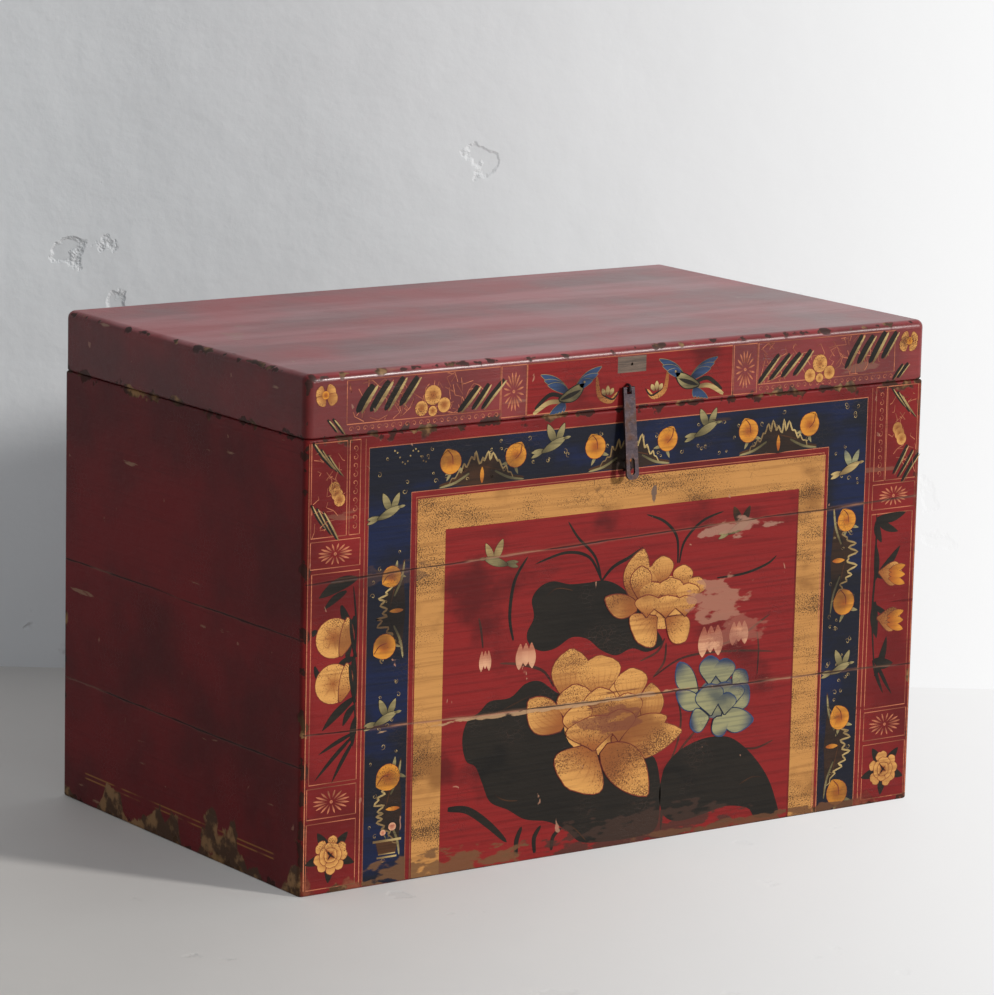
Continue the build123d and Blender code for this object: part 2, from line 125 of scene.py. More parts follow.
class ChestStage(bpy.types.PropertyGroup):
    """Camera and lamps."""

    azimuth: bpy.props.FloatProperty(
        name="Azimuth", description="Camera's turn about the chest", default=math.radians(-35.26),
        subtype="ANGLE",
    )
    elevation: bpy.props.FloatProperty(
        name="Elevation", description="Camera's height angle", default=math.radians(10.94),
        subtype="ANGLE",
    )
    roll: bpy.props.FloatProperty(
        name="Roll", description="Camera's roll", default=math.radians(1.32), subtype="ANGLE"
    )
    distance: bpy.props.FloatProperty(
        name="Distance", description="Camera to its aim point", default=5.239, unit="LENGTH"
    )
    lens: bpy.props.FloatProperty(name="Lens", description="Focal length in mm", default=169.63)
    wall_distance: bpy.props.FloatProperty(
        name="Wall distance", description="Wall behind the chest's centre, clear of the open lid",
        default=0.56, unit="LENGTH",
    )
    key: bpy.props.FloatProperty(name="Key", description="Strength of the key light", default=2.7)
    fill: bpy.props.FloatProperty(name="Fill", description="Strength of the room light", default=0.42)


# Shader building: a Mix node keeps its colours in these sockets
MIX_A, MIX_B, MIX_RESULT = 6, 7, 2


class Graph:
    """A node tree with short calls for the nodes that the finishes use."""

    def __init__(self, tree):
        self.tree = tree

    def add(self, kind, **values):
        node = self.tree.nodes.new(kind)
        for key, value in values.items():
            setattr(node, key, value)
        return node

    def put(self, socket, value):
        if hasattr(value, "is_linked"):
            self.tree.links.new(value, socket)
        elif hasattr(value, "__len__") and len(value) == 3 and socket.type == "RGBA":
            socket.default_value = (*value, 1)
        else:
            socket.default_value = value

    def math(self, operation, a, b=0.0, clamp=False):
        """One sum on numbers or sockets; the short calls below use it."""
        node = self.add("ShaderNodeMath", operation=operation, use_clamp=clamp)
        self.put(node.inputs[0], a)
        self.put(node.inputs[1], b)
        return node.outputs[0]

    def plus(self, a, b):
        return self.math("ADD", a, b)

    def minus(self, a, b):
        return self.math("SUBTRACT", a, b)

    def times(self, a, b):
        return self.math("MULTIPLY", a, b)

    def least(self, a, b):
        return self.math("MINIMUM", a, b)

    def most(self, a, b):
        return self.math("MAXIMUM", a, b)

    def size(self, a):
        return self.math("ABSOLUTE", a)

    def flip(self, a):
        """1 where a is 0, and 0 where it is 1."""
        return self.minus(1.0, a)

    def centred(self, a, amount):
        """A value round 0.5 becomes one round 0, spread by amount."""
        return self.times(self.minus(a, 0.5), amount)

    def step(self, value, low, high):
        """0 below low, 1 above high and smooth between."""
        node = self.add("ShaderNodeMapRange", interpolation_type="SMOOTHSTEP")
        self.put(node.inputs["Value"], value)
        self.put(node.inputs["From Min"], low)
        self.put(node.inputs["From Max"], high)
        return node.outputs[0]

    def mix(self, amount, a, b, blend="MIX"):
        node = self.add("ShaderNodeMix", data_type="RGBA", blend_type=blend)
        self.put(node.inputs[0], amount)
        self.put(node.inputs[MIX_A], a)
        self.put(node.inputs[MIX_B], b)
        return node.outputs[MIX_RESULT]

    def shade(self, colour, part):
        """A colour darkened to a part of itself."""
        return self.mix(1.0, colour, (part, part, part), "MULTIPLY")

    def place(self, scale=(1, 1, 1)):
        """The chest's own coordinates, in metres, stretched by scale."""
        source = self.add("ShaderNodeTexCoord").outputs["Object"]
        mapping = self.add("ShaderNodeMapping")
        self.put(mapping.inputs["Vector"], source)
        mapping.inputs["Scale"].default_value = scale
        return mapping.outputs[0]

    def noise(self, scale, detail=4.0, stretch=(1, 1, 1), distortion=0.0):
        node = self.add("ShaderNodeTexNoise")
        self.put(node.inputs["Vector"], self.place(stretch))
        node.inputs["Scale"].default_value = scale
        node.inputs["Detail"].default_value = detail
        node.inputs["Distortion"].default_value = distortion
        return node.outputs["Fac"]

    def axes(self):
        node = self.add("ShaderNodeSeparateXYZ")
        self.put(node.inputs[0], self.add("ShaderNodeTexCoord").outputs["Object"])
        return node.outputs

    def group(self, tree, **values):
        node = self.add("ShaderNodeGroup")
        node.node_tree = tree
        for key, value in values.items():
            self.put(node.inputs[key.replace("_", " ")], value)
        return node.outputs


def new_group(name, inputs, outputs):
    """An empty shader node group with float sockets."""
    tree = bpy.data.node_groups.new(name, "ShaderNodeTree")
    for label, value in inputs.items():
        socket = tree.interface.new_socket(label, in_out="INPUT", socket_type="NodeSocketFloat")
        socket.default_value = value
    for label in outputs:
        tree.interface.new_socket(label, in_out="OUTPUT", socket_type="NodeSocketFloat")
    graph = Graph(tree)
    return graph, graph.add("NodeGroupInput").outputs, graph.add("NodeGroupOutput").inputs


def aged_surface_group():
    """Masks that every finish shares, fixed to the chest so that wear runs over all the paint."""
    g, given, out = new_group(
        "Aged surface",
        {"Wear": 0.5, "Speckle": 0.3},
        ("Worn", "Speck", "Mottle", "Streak", "Craze", "Nick", "Height"),
    )
    mottle = g.noise(9, 4)
    streak = g.noise(5, 5, (2.2, 2.2, 70))
    patches = g.noise(13, 6, (0.8, 0.8, 2.0))
    worn = g.plus(g.times(patches, 0.72), g.times(streak, 0.28))
    limit = g.minus(0.78, g.times(given["Wear"], 0.25))
    g.put(out["Worn"], g.step(worn, limit, g.plus(limit, 0.018)))
    fine = g.noise(760, 3)
    zone = g.noise(14, 4, (1, 1, 2.2))
    specks = g.plus(fine, g.centred(zone, 0.8))
    speck_limit = g.minus(0.86, g.times(given["Speckle"], 0.3))
    g.put(out["Speck"], g.step(specks, speck_limit, g.plus(speck_limit, 0.05)))
    cells = g.add("ShaderNodeTexVoronoi", feature="DISTANCE_TO_EDGE")
    g.put(cells.inputs["Vector"], g.place((1.0, 1.0, 1.5)))
    cells.inputs["Scale"].default_value = 150
    craze = g.flip(g.step(cells.outputs["Distance"], 0.01, 0.05))
    craze = g.times(craze, g.step(g.noise(17, 4), 0.5, 0.68))
    g.put(out["Craze"], craze)
    g.put(out["Nick"], g.step(g.noise(75, 3, (1, 1, 0.7), 0.6), 0.735, 0.76))
    g.put(out["Mottle"], mottle)
    g.put(out["Streak"], streak)
    low = g.times(g.noise(60, 3, (1, 1, 2.5)), 0.6)
    height = g.plus(low, g.times(fine, 0.12))
    height = g.plus(height, g.times(streak, 0.35))
    g.put(out["Height"], g.minus(height, g.times(craze, 0.25)))
    return g.tree


def plank_seam_group():
    """The crack line along one slanting seam between planks, as a core and a soft edge."""
    g, given, out = new_group(
        "Plank seam", {"Left": 0.16, "Right": 0.15, "Width": 0.0011}, ("Core", "Edge")
    )
    x, _, z = g.axes()[:3]
    part = g.plus(g.math("DIVIDE", x, 2 * HALF_WIDTH), 0.5)
    rise = g.times(g.minus(given["Right"], given["Left"]), part)
    height = g.plus(given["Left"], rise)
    wander = g.centred(g.noise(11, 7), 0.005)
    gap = g.size(g.minus(g.minus(z, height), wander))
    width = g.times(given["Width"], g.times(g.noise(38, 5), 2.1))
    near = g.flip(g.step(gap, g.times(width, 0.4), width))
    g.put(out["Core"], near)
    g.put(out["Edge"], g.flip(g.step(gap, width, g.times(width, 2.6))))
    return g.tree


def edge_wear_group():
    """Rubbed corners of a box that stands from Low to High on the chest's own outline."""
    g, given, out = new_group(
        "Edge wear", {"Low": 0.0, "High": 0.46, "Reach": 0.004}, ("Edge", "Foot")
    )
    x, y, z = g.axes()[:3]
    dx = g.size(g.minus(HALF_WIDTH, g.size(x)))
    dy = g.size(g.minus(HALF_DEPTH, g.size(y)))
    dz = g.least(g.minus(z, given["Low"]), g.minus(given["High"], z))
    low = g.least(dx, dy)
    high = g.most(dx, dy)
    second = g.most(low, g.least(high, g.size(dz)))
    rough = g.noise(58, 5)
    reach = g.times(given["Reach"], g.times(g.step(rough, 0.45, 0.7), 2.0))
    reach = g.most(reach, 0.0003)
    g.put(out["Edge"], g.flip(g.step(second, g.times(reach, 0.6), reach)))
    lift = g.times(g.step(g.noise(13, 8, (1, 1, 0.5)), 0.4, 0.66), 0.058)
    g.put(out["Foot"], g.flip(g.step(z, g.minus(lift, 0.004), lift)))
    return g.tree


GROUPS = {}


def shader_groups():
    """The node groups that the finishes share, made once."""
    if not GROUPS:
        GROUPS["aged"] = aged_surface_group()
        GROUPS["seam"] = plank_seam_group()
        GROUPS["edge"] = edge_wear_group()
        GROUPS["zone"] = worn_zone_group()
    return GROUPS


def new_material(name, **plain):
    """A material with one Principled shader, its plain sockets set to the given values."""
    material = bpy.data.materials.new(name)
    material.use_nodes = True
    graph = Graph(material.node_tree)
    shader = material.node_tree.nodes["Principled BSDF"]
    for key, value in plain.items():
        shader.inputs[key.replace("_", " ")].default_value = value
    return material, graph, shader


def bump(g, shader, height, strength, distance):
    """Joins a height to the shader's normal."""
    node = g.add("ShaderNodeBump")
    node.inputs["Strength"].default_value = strength
    node.inputs["Distance"].default_value = distance
    g.put(node.inputs["Height"], height)
    g.put(shader.inputs["Normal"], node.outputs[0])


# Heights of the plank seams, left and right, and of the gold rules on the left end, in metres
FRONT_SEAMS = ((0.164, 0.1505), (0.3155, 0.334))
END_SEAMS = ((0.131, 0.131), (0.259, 0.259))
END_RULES = (0.034, 0.029)
END_RULE_HALF_LENGTH = 0.184

VEIN_COUNT = 7.0
NICK_PALE = srgb(170, 124, 100)
NICK_DULL = srgb(150, 108, 88)
# Pale mauve for the lid's top: dust, and a painted sheen that stands in for the wall's reflection in
# the glossy top
DUST_AND_SHEEN = srgb(176, 104, 108)


def add_seams(g, colour, seams, dark, pale, weight=1.0):
    """Draws plank seams over a colour: a dark core in a paler crushed edge."""
    core = 0.0
    broken = g.step(g.noise(6, 4), 0.36, 0.5)
    edge = g.times(g.times(broken, 0.16), weight)
    line = g.times(g.plus(0.45, g.times(broken, 0.4)), weight)
    tone = g.mix(g.step(g.noise(8, 3), 0.5, 0.62), dark, pale)
    for left, right in seams:
        seam = g.group(shader_groups()["seam"], Left=left, Right=right)
        colour = g.mix(g.times(seam["Edge"], edge), colour, pale)
        crack = g.times(seam["Core"], line)
        colour = g.mix(crack, colour, tone)
        core = g.most(core, crack)
    return colour, core


def worn_zone_group():
    """A ragged oval where the paint is scraped, at X and Z on the front."""
    g, given, out = new_group(
        "Worn zone",
        {"X": 0.0, "Z": 0.2, "Half width": 0.03, "Half height": 0.02, "Ragged": 0.0},
        ("Mask",),
    )
    x, _, z = g.axes()[:3]
    across = g.math("DIVIDE", g.minus(x, given["X"]), given["Half width"])
    up = g.math("DIVIDE", g.minus(z, given["Z"]), given["Half height"])
    far = g.plus(g.times(across, across), g.times(up, up))
    g.put(out["Mask"], g.flip(g.step(g.plus(far, given["Ragged"]), 0.55, 1.1)))
    return g.tree


# Scraped or stained places on the front: across, up, half width, half height, strength, colour
WORN_ZONES = (
    (0.118, 0.247, 0.036, 0.024, 0.75, srgb(160, 112, 92)),
    (0.145, 0.323, 0.046, 0.009, 0.8, srgb(160, 118, 100)),
    (0.148, 0.212, 0.034, 0.016, 0.5, srgb(150, 96, 80)),
    (-0.012, 0.136, 0.042, 0.013, 0.7, srgb(112, 60, 44)),
    (0.03, 0.012, 0.12, 0.022, 0.8, srgb(58, 40, 32)),
    (-0.225, 0.008, 0.1, 0.016, 0.85, srgb(104, 72, 46)),
    (0.2, 0.004, 0.16, 0.006, 0.85, srgb(96, 62, 40)),
    (-0.28, 0.316, 0.05, 0.01, 0.5, srgb(70, 50, 44)),
    (-0.07, 0.157, 0.17, 0.0026, 0.8, srgb(176, 140, 104)),
    (0.035, 0.37, 0.003, 0.016, 0.9, srgb(96, 78, 70)),
)


def add_worn_zones(g, colour):
    """Lays every scraped or stained place over a colour."""
    ragged = g.centred(g.noise(38, 5, (1, 1, 2.6)), 7.0)
    for x, z, half_width, half_height, strength, tone in WORN_ZONES:
        zone = g.group(
            shader_groups()["zone"], X=x, Z=z, Half_width=half_width, Half_height=half_height,
            Ragged=ragged,
        )
        colour = g.mix(g.times(zone["Mask"], strength), colour, tone)
    return colour


def paint_material(
    name, deep, light, ground, wear, speckle, rough, veins=0.0, grime=0.5, dirt=None,
    turn=(0.02, 0.85),
):
    """Paint with a root-to-tip gradient from the sheet's own coordinates, worn to its ground."""
    material, g, shader = new_material(name, Specular_IOR_Level=0.15)
    aged = g.group(shader_groups()["aged"], Wear=wear, Speckle=speckle)
    uv = g.add("ShaderNodeSeparateXYZ")
    g.put(uv.inputs[0], g.add("ShaderNodeUVMap", uv_map="Strokes").outputs[0])
    along = g.plus(uv.outputs[1], g.centred(aged["Mottle"], 0.9))
    colour = g.mix(g.step(along, *turn), deep, light)
    if veins:
        across = g.math("FRACT", g.times(uv.outputs[0], VEIN_COUNT))
        comb = g.size(g.minus(across, 0.5))
        vein = g.flip(g.step(comb, 0.03, 0.16))
        fade = g.flip(g.step(uv.outputs[1], 0.35, 0.9))
        colour = g.mix(g.times(vein, g.times(fade, veins)), colour, deep)
    dirt = dirt or tuple(c * 0.3 for c in deep)
    shade = g.times(g.step(aged["Streak"], 0.42, 0.7), 0.4)
    colour = g.mix(shade, colour, dirt)
    low = 0.62 - 0.2 * grime
    stain = g.times(g.step(g.noise(9, 6, (1, 1, 1.4)), low, low + 0.13), 0.8)
    colour = g.mix(stain, colour, dirt)
    colour = g.mix(g.times(aged["Craze"], 0.5), colour, ground)
    colour = g.mix(g.times(aged["Speck"], 0.85), colour, tuple(c * 0.6 for c in ground))
    colour = g.mix(g.times(aged["Worn"], 0.85), colour, ground)
    colour = g.mix(g.times(aged["Nick"], 0.75), colour, NICK_PALE)
    colour = add_worn_zones(g, colour)
    colour, core = add_seams(g, colour, FRONT_SEAMS, srgb(38, 18, 14), srgb(150, 104, 80))
    g.put(shader.inputs["Base Color"], colour)
    g.put(shader.inputs["Roughness"], g.plus(rough, g.times(aged["Mottle"], 0.22)))
    bump(g, shader, g.minus(aged["Height"], core), 0.5, 0.0009)
    return material


def lacquer_material(name, face, side, crown, low, high, wear, dust_and_sheen, gloss, body):
    """Old lacquer laid over the joints: one colour on the front, one on the sides, one on top.

    The chest's body also has plank seams, gold rules near the left end's foot and bare feet.
    """
    paints = bpy.context.scene.chest_paints
    material, g, shader = new_material(
        name, Specular_IOR_Level=0.14 + gloss * 0.16, Coat_Roughness=0.22
    )
    aged = g.group(shader_groups()["aged"], Wear=wear, Speckle=0.1)
    edge = g.group(shader_groups()["edge"], Low=low, High=high, Reach=0.006 if body else 0.0045)
    x, y, z = g.axes()[:3]
    facing = g.add("ShaderNodeSeparateXYZ")
    g.put(facing.inputs[0], g.add("ShaderNodeTexCoord").outputs["Normal"])
    nx, ny, nz = facing.outputs[:3]
    front = g.step(g.times(ny, -1.0), 0.35, 0.8)
    top = g.step(nz, 0.45, 0.85)
    ends = g.step(g.size(nx), 0.5, 0.8)
    colour = g.mix(top, g.mix(front, side, face), crown)
    dark = g.shade(colour, 0.5)
    paint = g.mix(g.step(aged["Mottle"], 0.3, 0.66), dark, colour)
    paint = g.mix(g.times(g.step(aged["Streak"], 0.5, 0.8), 0.45), paint, dark)
    # Dust and painted sheen: a pale mauve film on upward faces, partly standing in for the wall's
    # reflection on the top
    dust_and_sheen_film = g.times(g.step(g.noise(5.5, 8, (0.35, 2.6, 1.6)), 0.42, 0.66), g.times(top, dust_and_sheen))
    paint = g.mix(dust_and_sheen_film, paint, DUST_AND_SHEEN)
    paint = g.mix(g.times(aged["Craze"], 0.35), paint, g.shade(colour, 0.3))
    ochre = g.mix(g.step(g.noise(60, 6), 0.46, 0.6), srgb(70, 48, 30), paints.wood)
    rubbed = g.mix(g.step(g.noise(24, 6), 0.52, 0.62), srgb(58, 30, 25), ochre)
    paint = g.mix(g.times(aged["Worn"], 0.5), paint, srgb(62, 24, 22))
    scrape = g.step(g.noise(16, 6, (0.5, 0.5, 3.2)), 0.675, 0.7)
    scrape = g.times(scrape, g.plus(0.3, g.times(ends, 0.45)))
    paint = g.mix(scrape, paint, srgb(140, 108, 84))
    paint = g.mix(g.times(aged["Nick"], 0.6), paint, NICK_DULL)
    paint = g.mix(edge["Edge"], paint, rubbed)
    core = 0.0
    if body:
        near = g.flip(g.step(g.size(y), END_RULE_HALF_LENGTH, END_RULE_HALF_LENGTH + 0.004))
        near = g.times(near, g.step(g.times(nx, -1.0), 0.5, 0.8))
        faded = g.times(near, g.step(g.noise(20, 6), 0.4, 0.56))
        for height in END_RULES:
            off = g.size(g.minus(z, height))
            ruled = g.times(g.flip(g.step(off, 0.0005, 0.0011)), faded)
            paint = g.mix(g.times(ruled, 0.8), paint, paints.gold_deep)
        foot = g.times(edge["Foot"], g.plus(0.3, g.times(ends, 0.65)))
        paint = g.mix(foot, paint, ochre)
        crack, pale = srgb(26, 12, 12), srgb(110, 72, 60)
        paint, core = add_seams(g, paint, FRONT_SEAMS, crack, pale, g.flip(ends))
        paint, end_core = add_seams(g, paint, END_SEAMS, crack, pale, ends)
        core = g.most(core, end_core)
    inside_x = g.math("LESS_THAN", g.size(x), HALF_WIDTH - WALL + WALL_MARGIN)
    inside_y = g.math("LESS_THAN", g.size(y), HALF_DEPTH - WALL + WALL_MARGIN)
    below = g.math("LESS_THAN", z, LID_HIGH.z - TOP_MARGIN)
    inside = g.times(inside_x, g.times(inside_y, below))
    half_wood = tuple(c * 0.5 for c in paints.inside_wood)
    grain = (2, 2, 60) if body else (2, 60, 60)
    bare = g.mix(g.step(g.noise(6, 7, grain), 0.35, 0.7), half_wood, paints.inside_wood)
    paint = g.mix(inside, paint, bare)
    g.put(shader.inputs["Base Color"], paint)
    dull = g.most(inside, g.most(edge["Edge"], aged["Worn"]))
    shine = g.plus(0.34 - gloss * 0.08, g.times(aged["Mottle"], 0.25))
    g.put(shader.inputs["Roughness"], g.math("ADD", shine, g.times(dull, 0.25), clamp=True))
    coat = g.times(g.flip(dull), g.flip(ends))
    g.put(shader.inputs["Coat Weight"], g.times(coat, gloss * 0.25))
    height = g.minus(aged["Height"], g.times(edge["Edge"], 0.5))
    bump(g, shader, g.minus(height, core), 0.55, 0.0012)
    return material


def wood_material(name, colour, stretch):
    """Dry unpainted wood with grain along one axis."""
    material, g, shader = new_material(name)
    grain = g.noise(7, 9, stretch, 0.4)
    fine = g.noise(30, 6, stretch)
    tone = g.mix(g.step(grain, 0.34, 0.68), tuple(c * 0.45 for c in colour), colour)
    tone = g.mix(g.times(g.step(fine, 0.5, 0.75), 0.5), tone, tuple(c * 0.35 for c in colour))
    g.put(shader.inputs["Base Color"], tone)
    g.put(shader.inputs["Roughness"], g.plus(0.62, g.times(fine, 0.25)))
    bump(g, shader, g.plus(grain, g.times(fine, 0.5)), 0.6, 0.001)
    return material


def iron_material(paints):
    """Forged iron: dark, with brown rust and hammer dimples."""
    material, g, shader = new_material("Forged iron")
    rust = g.step(g.noise(90, 8), 0.46, 0.68)
    dimples = g.noise(160, 3)
    colour = g.mix(rust, paints.iron, srgb(84, 52, 40))
    colour = g.mix(g.times(g.step(g.noise(420, 4), 0.55, 0.75), 0.6), colour, srgb(26, 20, 21))
    g.put(shader.inputs["Base Color"], colour)
    g.put(shader.inputs["Metallic"], g.minus(0.75, g.times(rust, 0.6)))
    g.put(shader.inputs["Roughness"], g.plus(0.42, g.times(rust, 0.35)))
    bump(g, shader, g.plus(dimples, g.times(rust, 0.4)), 0.5, 0.0008)
    return material


MATERIALS = {}


def materials():
    """Every finish, made once."""
    if MATERIALS:
        return MATERIALS
    p = bpy.context.scene.chest_paints
    wear = bpy.context.scene.chest_sizes.wear
    low, seam, base, top = BODY_LOW.z, BODY_HIGH.z, LID_LOW.z, LID_HIGH.z
    m = MATERIALS
    m["body"] = lacquer_material(
        "Body lacquer", p.front_red, p.end_red, p.end_red, low, seam, wear * 0.8, 0.0, 0.0, True
    )
    # The lid's top gets dust and a painted sheen, at 0.55
    m["lid"] = lacquer_material(
        "Lid lacquer", p.front_red, p.end_red, p.top_red, base, top, wear * 0.8, 0.55, 1.0, False
    )
    m["bare"] = wood_material("Bare boards", p.inside_wood, (2, 60, 60))
    m["batten"] = wood_material("Batten wood", p.inside_wood, (60, 2, 60))
    m["patch"] = wood_material("Patch wood", srgb(112, 92, 78), (4, 40, 60))
    m["bamboo"] = wood_material("Bamboo", p.wood, (30, 30, 8))
    m["iron"] = iron_material(p)

    def paint(key, name, deep, light, ground, rubbed, speckle, rough, *veins, **more):
        m[key] = paint_material(
            name, deep, light, ground, wear * rubbed, speckle, rough, *veins, **more
        )

    red, brown = p.front_red, srgb(66, 42, 28)
    half_red = tuple(c * 0.5 for c in red)
    paint("panel", "Panel red", p.panel_red, p.panel_red, half_red, 0.7, 0.0, 0.34, grime=0.35)
    paint(
        "blue", "Border blue", p.blue_black, p.blue, srgb(50, 36, 36), 0.9, 0.1, 0.36,
        grime=1.1, dirt=p.blue_black,
    )
    paint(
        "gold", "Frame gold", p.gold_deep, p.gold, brown, 0.8, 0.85, 0.45,
        grime=0.5, dirt=srgb(122, 78, 38),
    )
    paint(
        "petal", "Petal gold", p.petal_root, p.petal_gold, srgb(110, 62, 36), 0.9, 0.85, 0.42, 0.5,
        grime=0.65, dirt=srgb(124, 72, 36),
    )
    paint(
        "outline", "Petal outline", srgb(92, 34, 26), srgb(118, 50, 34), red, 0.4, 0.0, 0.42,
        grime=0.2,
    )
    paint(
        "cream", "Cream", srgb(120, 96, 62), p.cream, srgb(90, 60, 44), 0.9, 0.5, 0.42,
        grime=0.5, dirt=brown,
    )
    paint(
        "bird", "Bird grey green", srgb(82, 74, 48), srgb(148, 134, 92), brown, 0.8, 0.3, 0.42, 0.5,
        grime=0.5, dirt=srgb(44, 40, 32),
    )
    paint(
        "bud", "Lotus bud", srgb(176, 110, 84), srgb(208, 156, 122), red, 1.3, 0.5, 0.45,
        grime=0.4, dirt=srgb(130, 60, 48),
    )
    paint(
        "fruit", "Fruit", srgb(160, 84, 30), p.fruit, brown, 0.9, 0.55, 0.4, 0.3,
        grime=0.45, dirt=srgb(104, 62, 30),
    )
    paint("leaf", "Leaf", p.leaf, srgb(32, 26, 19), srgb(64, 42, 32), 0.8, 0.15, 0.34, grime=0.3)
    paint("stem", "Stem", srgb(46, 24, 20), srgb(78, 42, 32), red, 0.5, 0.0, 0.4, grime=0.1)
    paint(
        "brown", "Rock brown", srgb(28, 20, 16), srgb(74, 44, 22), srgb(34, 24, 22), 0.6, 0.2, 0.4,
        grime=0.5,
    )
    paint("line", "Gold line", srgb(140, 76, 54), p.line, red, 1.0, 0.3, 0.42, grime=0.3)
    paint(
        "lotus_blue", "Lotus blue", srgb(146, 142, 104), p.lotus_blue, srgb(60, 40, 50), 0.5, 0.4,
        0.4, 0.3, grime=0.4, dirt=srgb(58, 66, 72), turn=(0.5, 1.1),
    )
    paint(
        "bird_blue", "Bird blue", srgb(22, 28, 48), srgb(50, 70, 104), srgb(60, 26, 34), 0.6, 0.1,
        0.4, 0.5, grime=0.3,
    )
    return MATERIALS


# Painted sheets
def tidy_mesh(mesh):
    """Joins points that meet and turns every face outward."""
    work = bmesh.new()
    work.from_mesh(mesh)
    bmesh.ops.remove_doubles(work, verts=work.verts, dist=1e-7)
    bmesh.ops.dissolve_degenerate(work, edges=work.edges, dist=1e-7)
    bmesh.ops.recalc_face_normals(work, faces=work.faces)
    work.to_mesh(mesh)
    work.free()


# How far the paint stays above the floor, and how deep a sheet's back lies, in layers
FOOT_MARGIN = 0.0015
BACK_LEVEL = -1.5

# Shapes of one ply lie apart by a part of a layer, in a cycle of levels
HAIR = 0.08
HAIR_CYCLE = 11


class Ply:
    """Collects painted shapes of one colour and turns them into one closed mesh."""

    def __init__(self, name, material, body, top_z):
        self.name = name
        self.material = material
        self.body = body
        self.top_z = top_z
        self.low_z = (BODY_LOW.z if body == "chest_body" else LID_LOW.z) + FOOT_MARGIN
        self.points = []
        self.marks = []
        self.faces = []
        self.shapes = 0

    def _next_level(self, level):
        """Shapes of one ply that overlap lie a hair apart, in the order they were painted."""
        self.shapes += 1
        return level + HAIR * (self.shapes % HAIR_CYCLE)

    def _vertex(self, across, down, u, v, level):
        step = bpy.context.scene.chest_sizes.layer
        x = across * MM - HALF_WIDTH
        z = max(self.top_z - down * MM, self.low_z)
        self.points.append((x, FRONT_Y - level * step, z))
        self.marks.append((u, v))
        return len(self.points) - 1

    def grid(self, rows, level):
        """Rows of (across, down, u, v) become a sheet with a front, a back and sides."""
        level = self._next_level(level)
        front = [[self._vertex(*point, level) for point in row] for row in rows]
        back = [[self._vertex(*point, BACK_LEVEL) for point in row] for row in rows]
        last = len(rows) - 1
        wide = len(rows[0]) - 1
        for i in range(last):
            for j in range(wide):
                self.faces.append((front[i][j], front[i][j + 1], front[i + 1][j + 1], front[i + 1][j]))
                self.faces.append((back[i][j], back[i + 1][j], back[i + 1][j + 1], back[i][j + 1]))
        rim = [(0, j) for j in range(wide)] + [(i, wide) for i in range(last)]
        rim += [(last, j) for j in range(wide, 0, -1)] + [(i, 0) for i in range(last, 0, -1)]
        for (i, j), (k, n) in zip(rim, rim[1:] + rim[:1]):
            self.faces.append((front[k][n], front[i][j], back[i][j], back[k][n]))

    def outline(self, points, level, v=0.8):
        """A closed outline of (across, down) becomes a flat sheet."""
        level = self._next_level(level)
        front = [self._vertex(a, d, 0.5, v, level) for a, d in points]
        back = [self._vertex(a, d, 0.5, v, BACK_LEVEL) for a, d in points]
        flat = [Vector((a, d, 0)) for a, d in points]
        for a, b, c in tessellate_polygon([flat]):
            self.faces.append((front[a], front[b], front[c]))
            self.faces.append((back[c], back[b], back[a]))
        count = len(points)
        for i in range(count):
            k = (i + 1) % count
            self.faces.append((front[i], front[k], back[k], back[i]))

    def build(self):
        mesh = bpy.data.meshes.new(self.name)
        mesh.from_pydata(self.points, [], self.faces)
        layer = mesh.uv_layers.new(name="Strokes")
        for loop in mesh.loops:
            layer.data[loop.index].uv = self.marks[loop.vertex_index]
        mesh.materials.append(materials()[self.material])
        tidy_mesh(mesh)
        piece = bpy.data.objects.new(self.name, mesh)
        bpy.context.scene.collection.objects.link(piece)
        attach(piece, self.body)
        return piece


class Painter:
    """The plies of one panel, made when a shape first needs them."""

    def __init__(self, panel, body, top_z):
        self.panel = panel
        self.body = body
        self.top_z = top_z
        self.plies = {}

    def ply(self, motif, material):
        key = (motif, material)
        if key not in self.plies:
            name = f"{self.panel}_{motif}_{material}"
            self.plies[key] = Ply(name, material, self.body, self.top_z)
        return self.plies[key]

    def build(self):
        for ply in self.plies.values():
            ply.build()


def curve_through(points, steps=6, closed=False):
    """A smooth line through the given points."""
    count = len(points)
    spans = count if closed else count - 1
    line = []
    for i in range(spans):
        if closed:
            p = [points[(i + k) % count] for k in (-1, 0, 1, 2)]
        else:
            p = [points[min(max(i + k, 0), count - 1)] for k in (-1, 0, 1, 2)]
        for s in range(steps):
            t = s / steps
            line.append(tuple(
                0.5 * (2 * b + (c - a) * t + (2 * a - 5 * b + 4 * c - d) * t * t
                       + (3 * b - a - 3 * c + d) * t ** 3)
                for a, b, c, d in zip(*p)
            ))
    if not closed:
        line.append(tuple(points[-1]))
    return line


def stroke(ply, points, width, level, start=0.15, end=0.15, steps=6):
    """A brush stroke along a smooth line, thinner at its ends."""
    line = curve_through(points, steps) if len(points) > 2 else [
        tuple(a + (b - a) * k / 4 for a, b in zip(*points)) for k in range(5)
    ]
    rows = []
    count = len(line) - 1
    for i, (a, d) in enumerate(line):
        before = line[max(i - 1, 0)]
        after = line[min(i + 1, count)]
        run = math.hypot(after[0] - before[0], after[1] - before[1]) or 1
        na, nd = -(after[1] - before[1]) / run, (after[0] - before[0]) / run
        t = i / count
        swell = math.sin(math.pi * min(max(t, 0.0), 1.0)) ** 0.5
        ends = start + (end - start) * t
        half = width / 2 * max(ends + (1 - ends) * swell, 0.06)
        rows.append([(a - na * half, d - nd * half, 0, t), (a + na * half, d + nd * half, 1, t)])
    ply.grid(rows, level)


def line(ply, points, width, level):
    """A ruled line of even width."""
    stroke(ply, points, width, level, 1.0, 1.0, 1 if len(points) > 2 else 4)


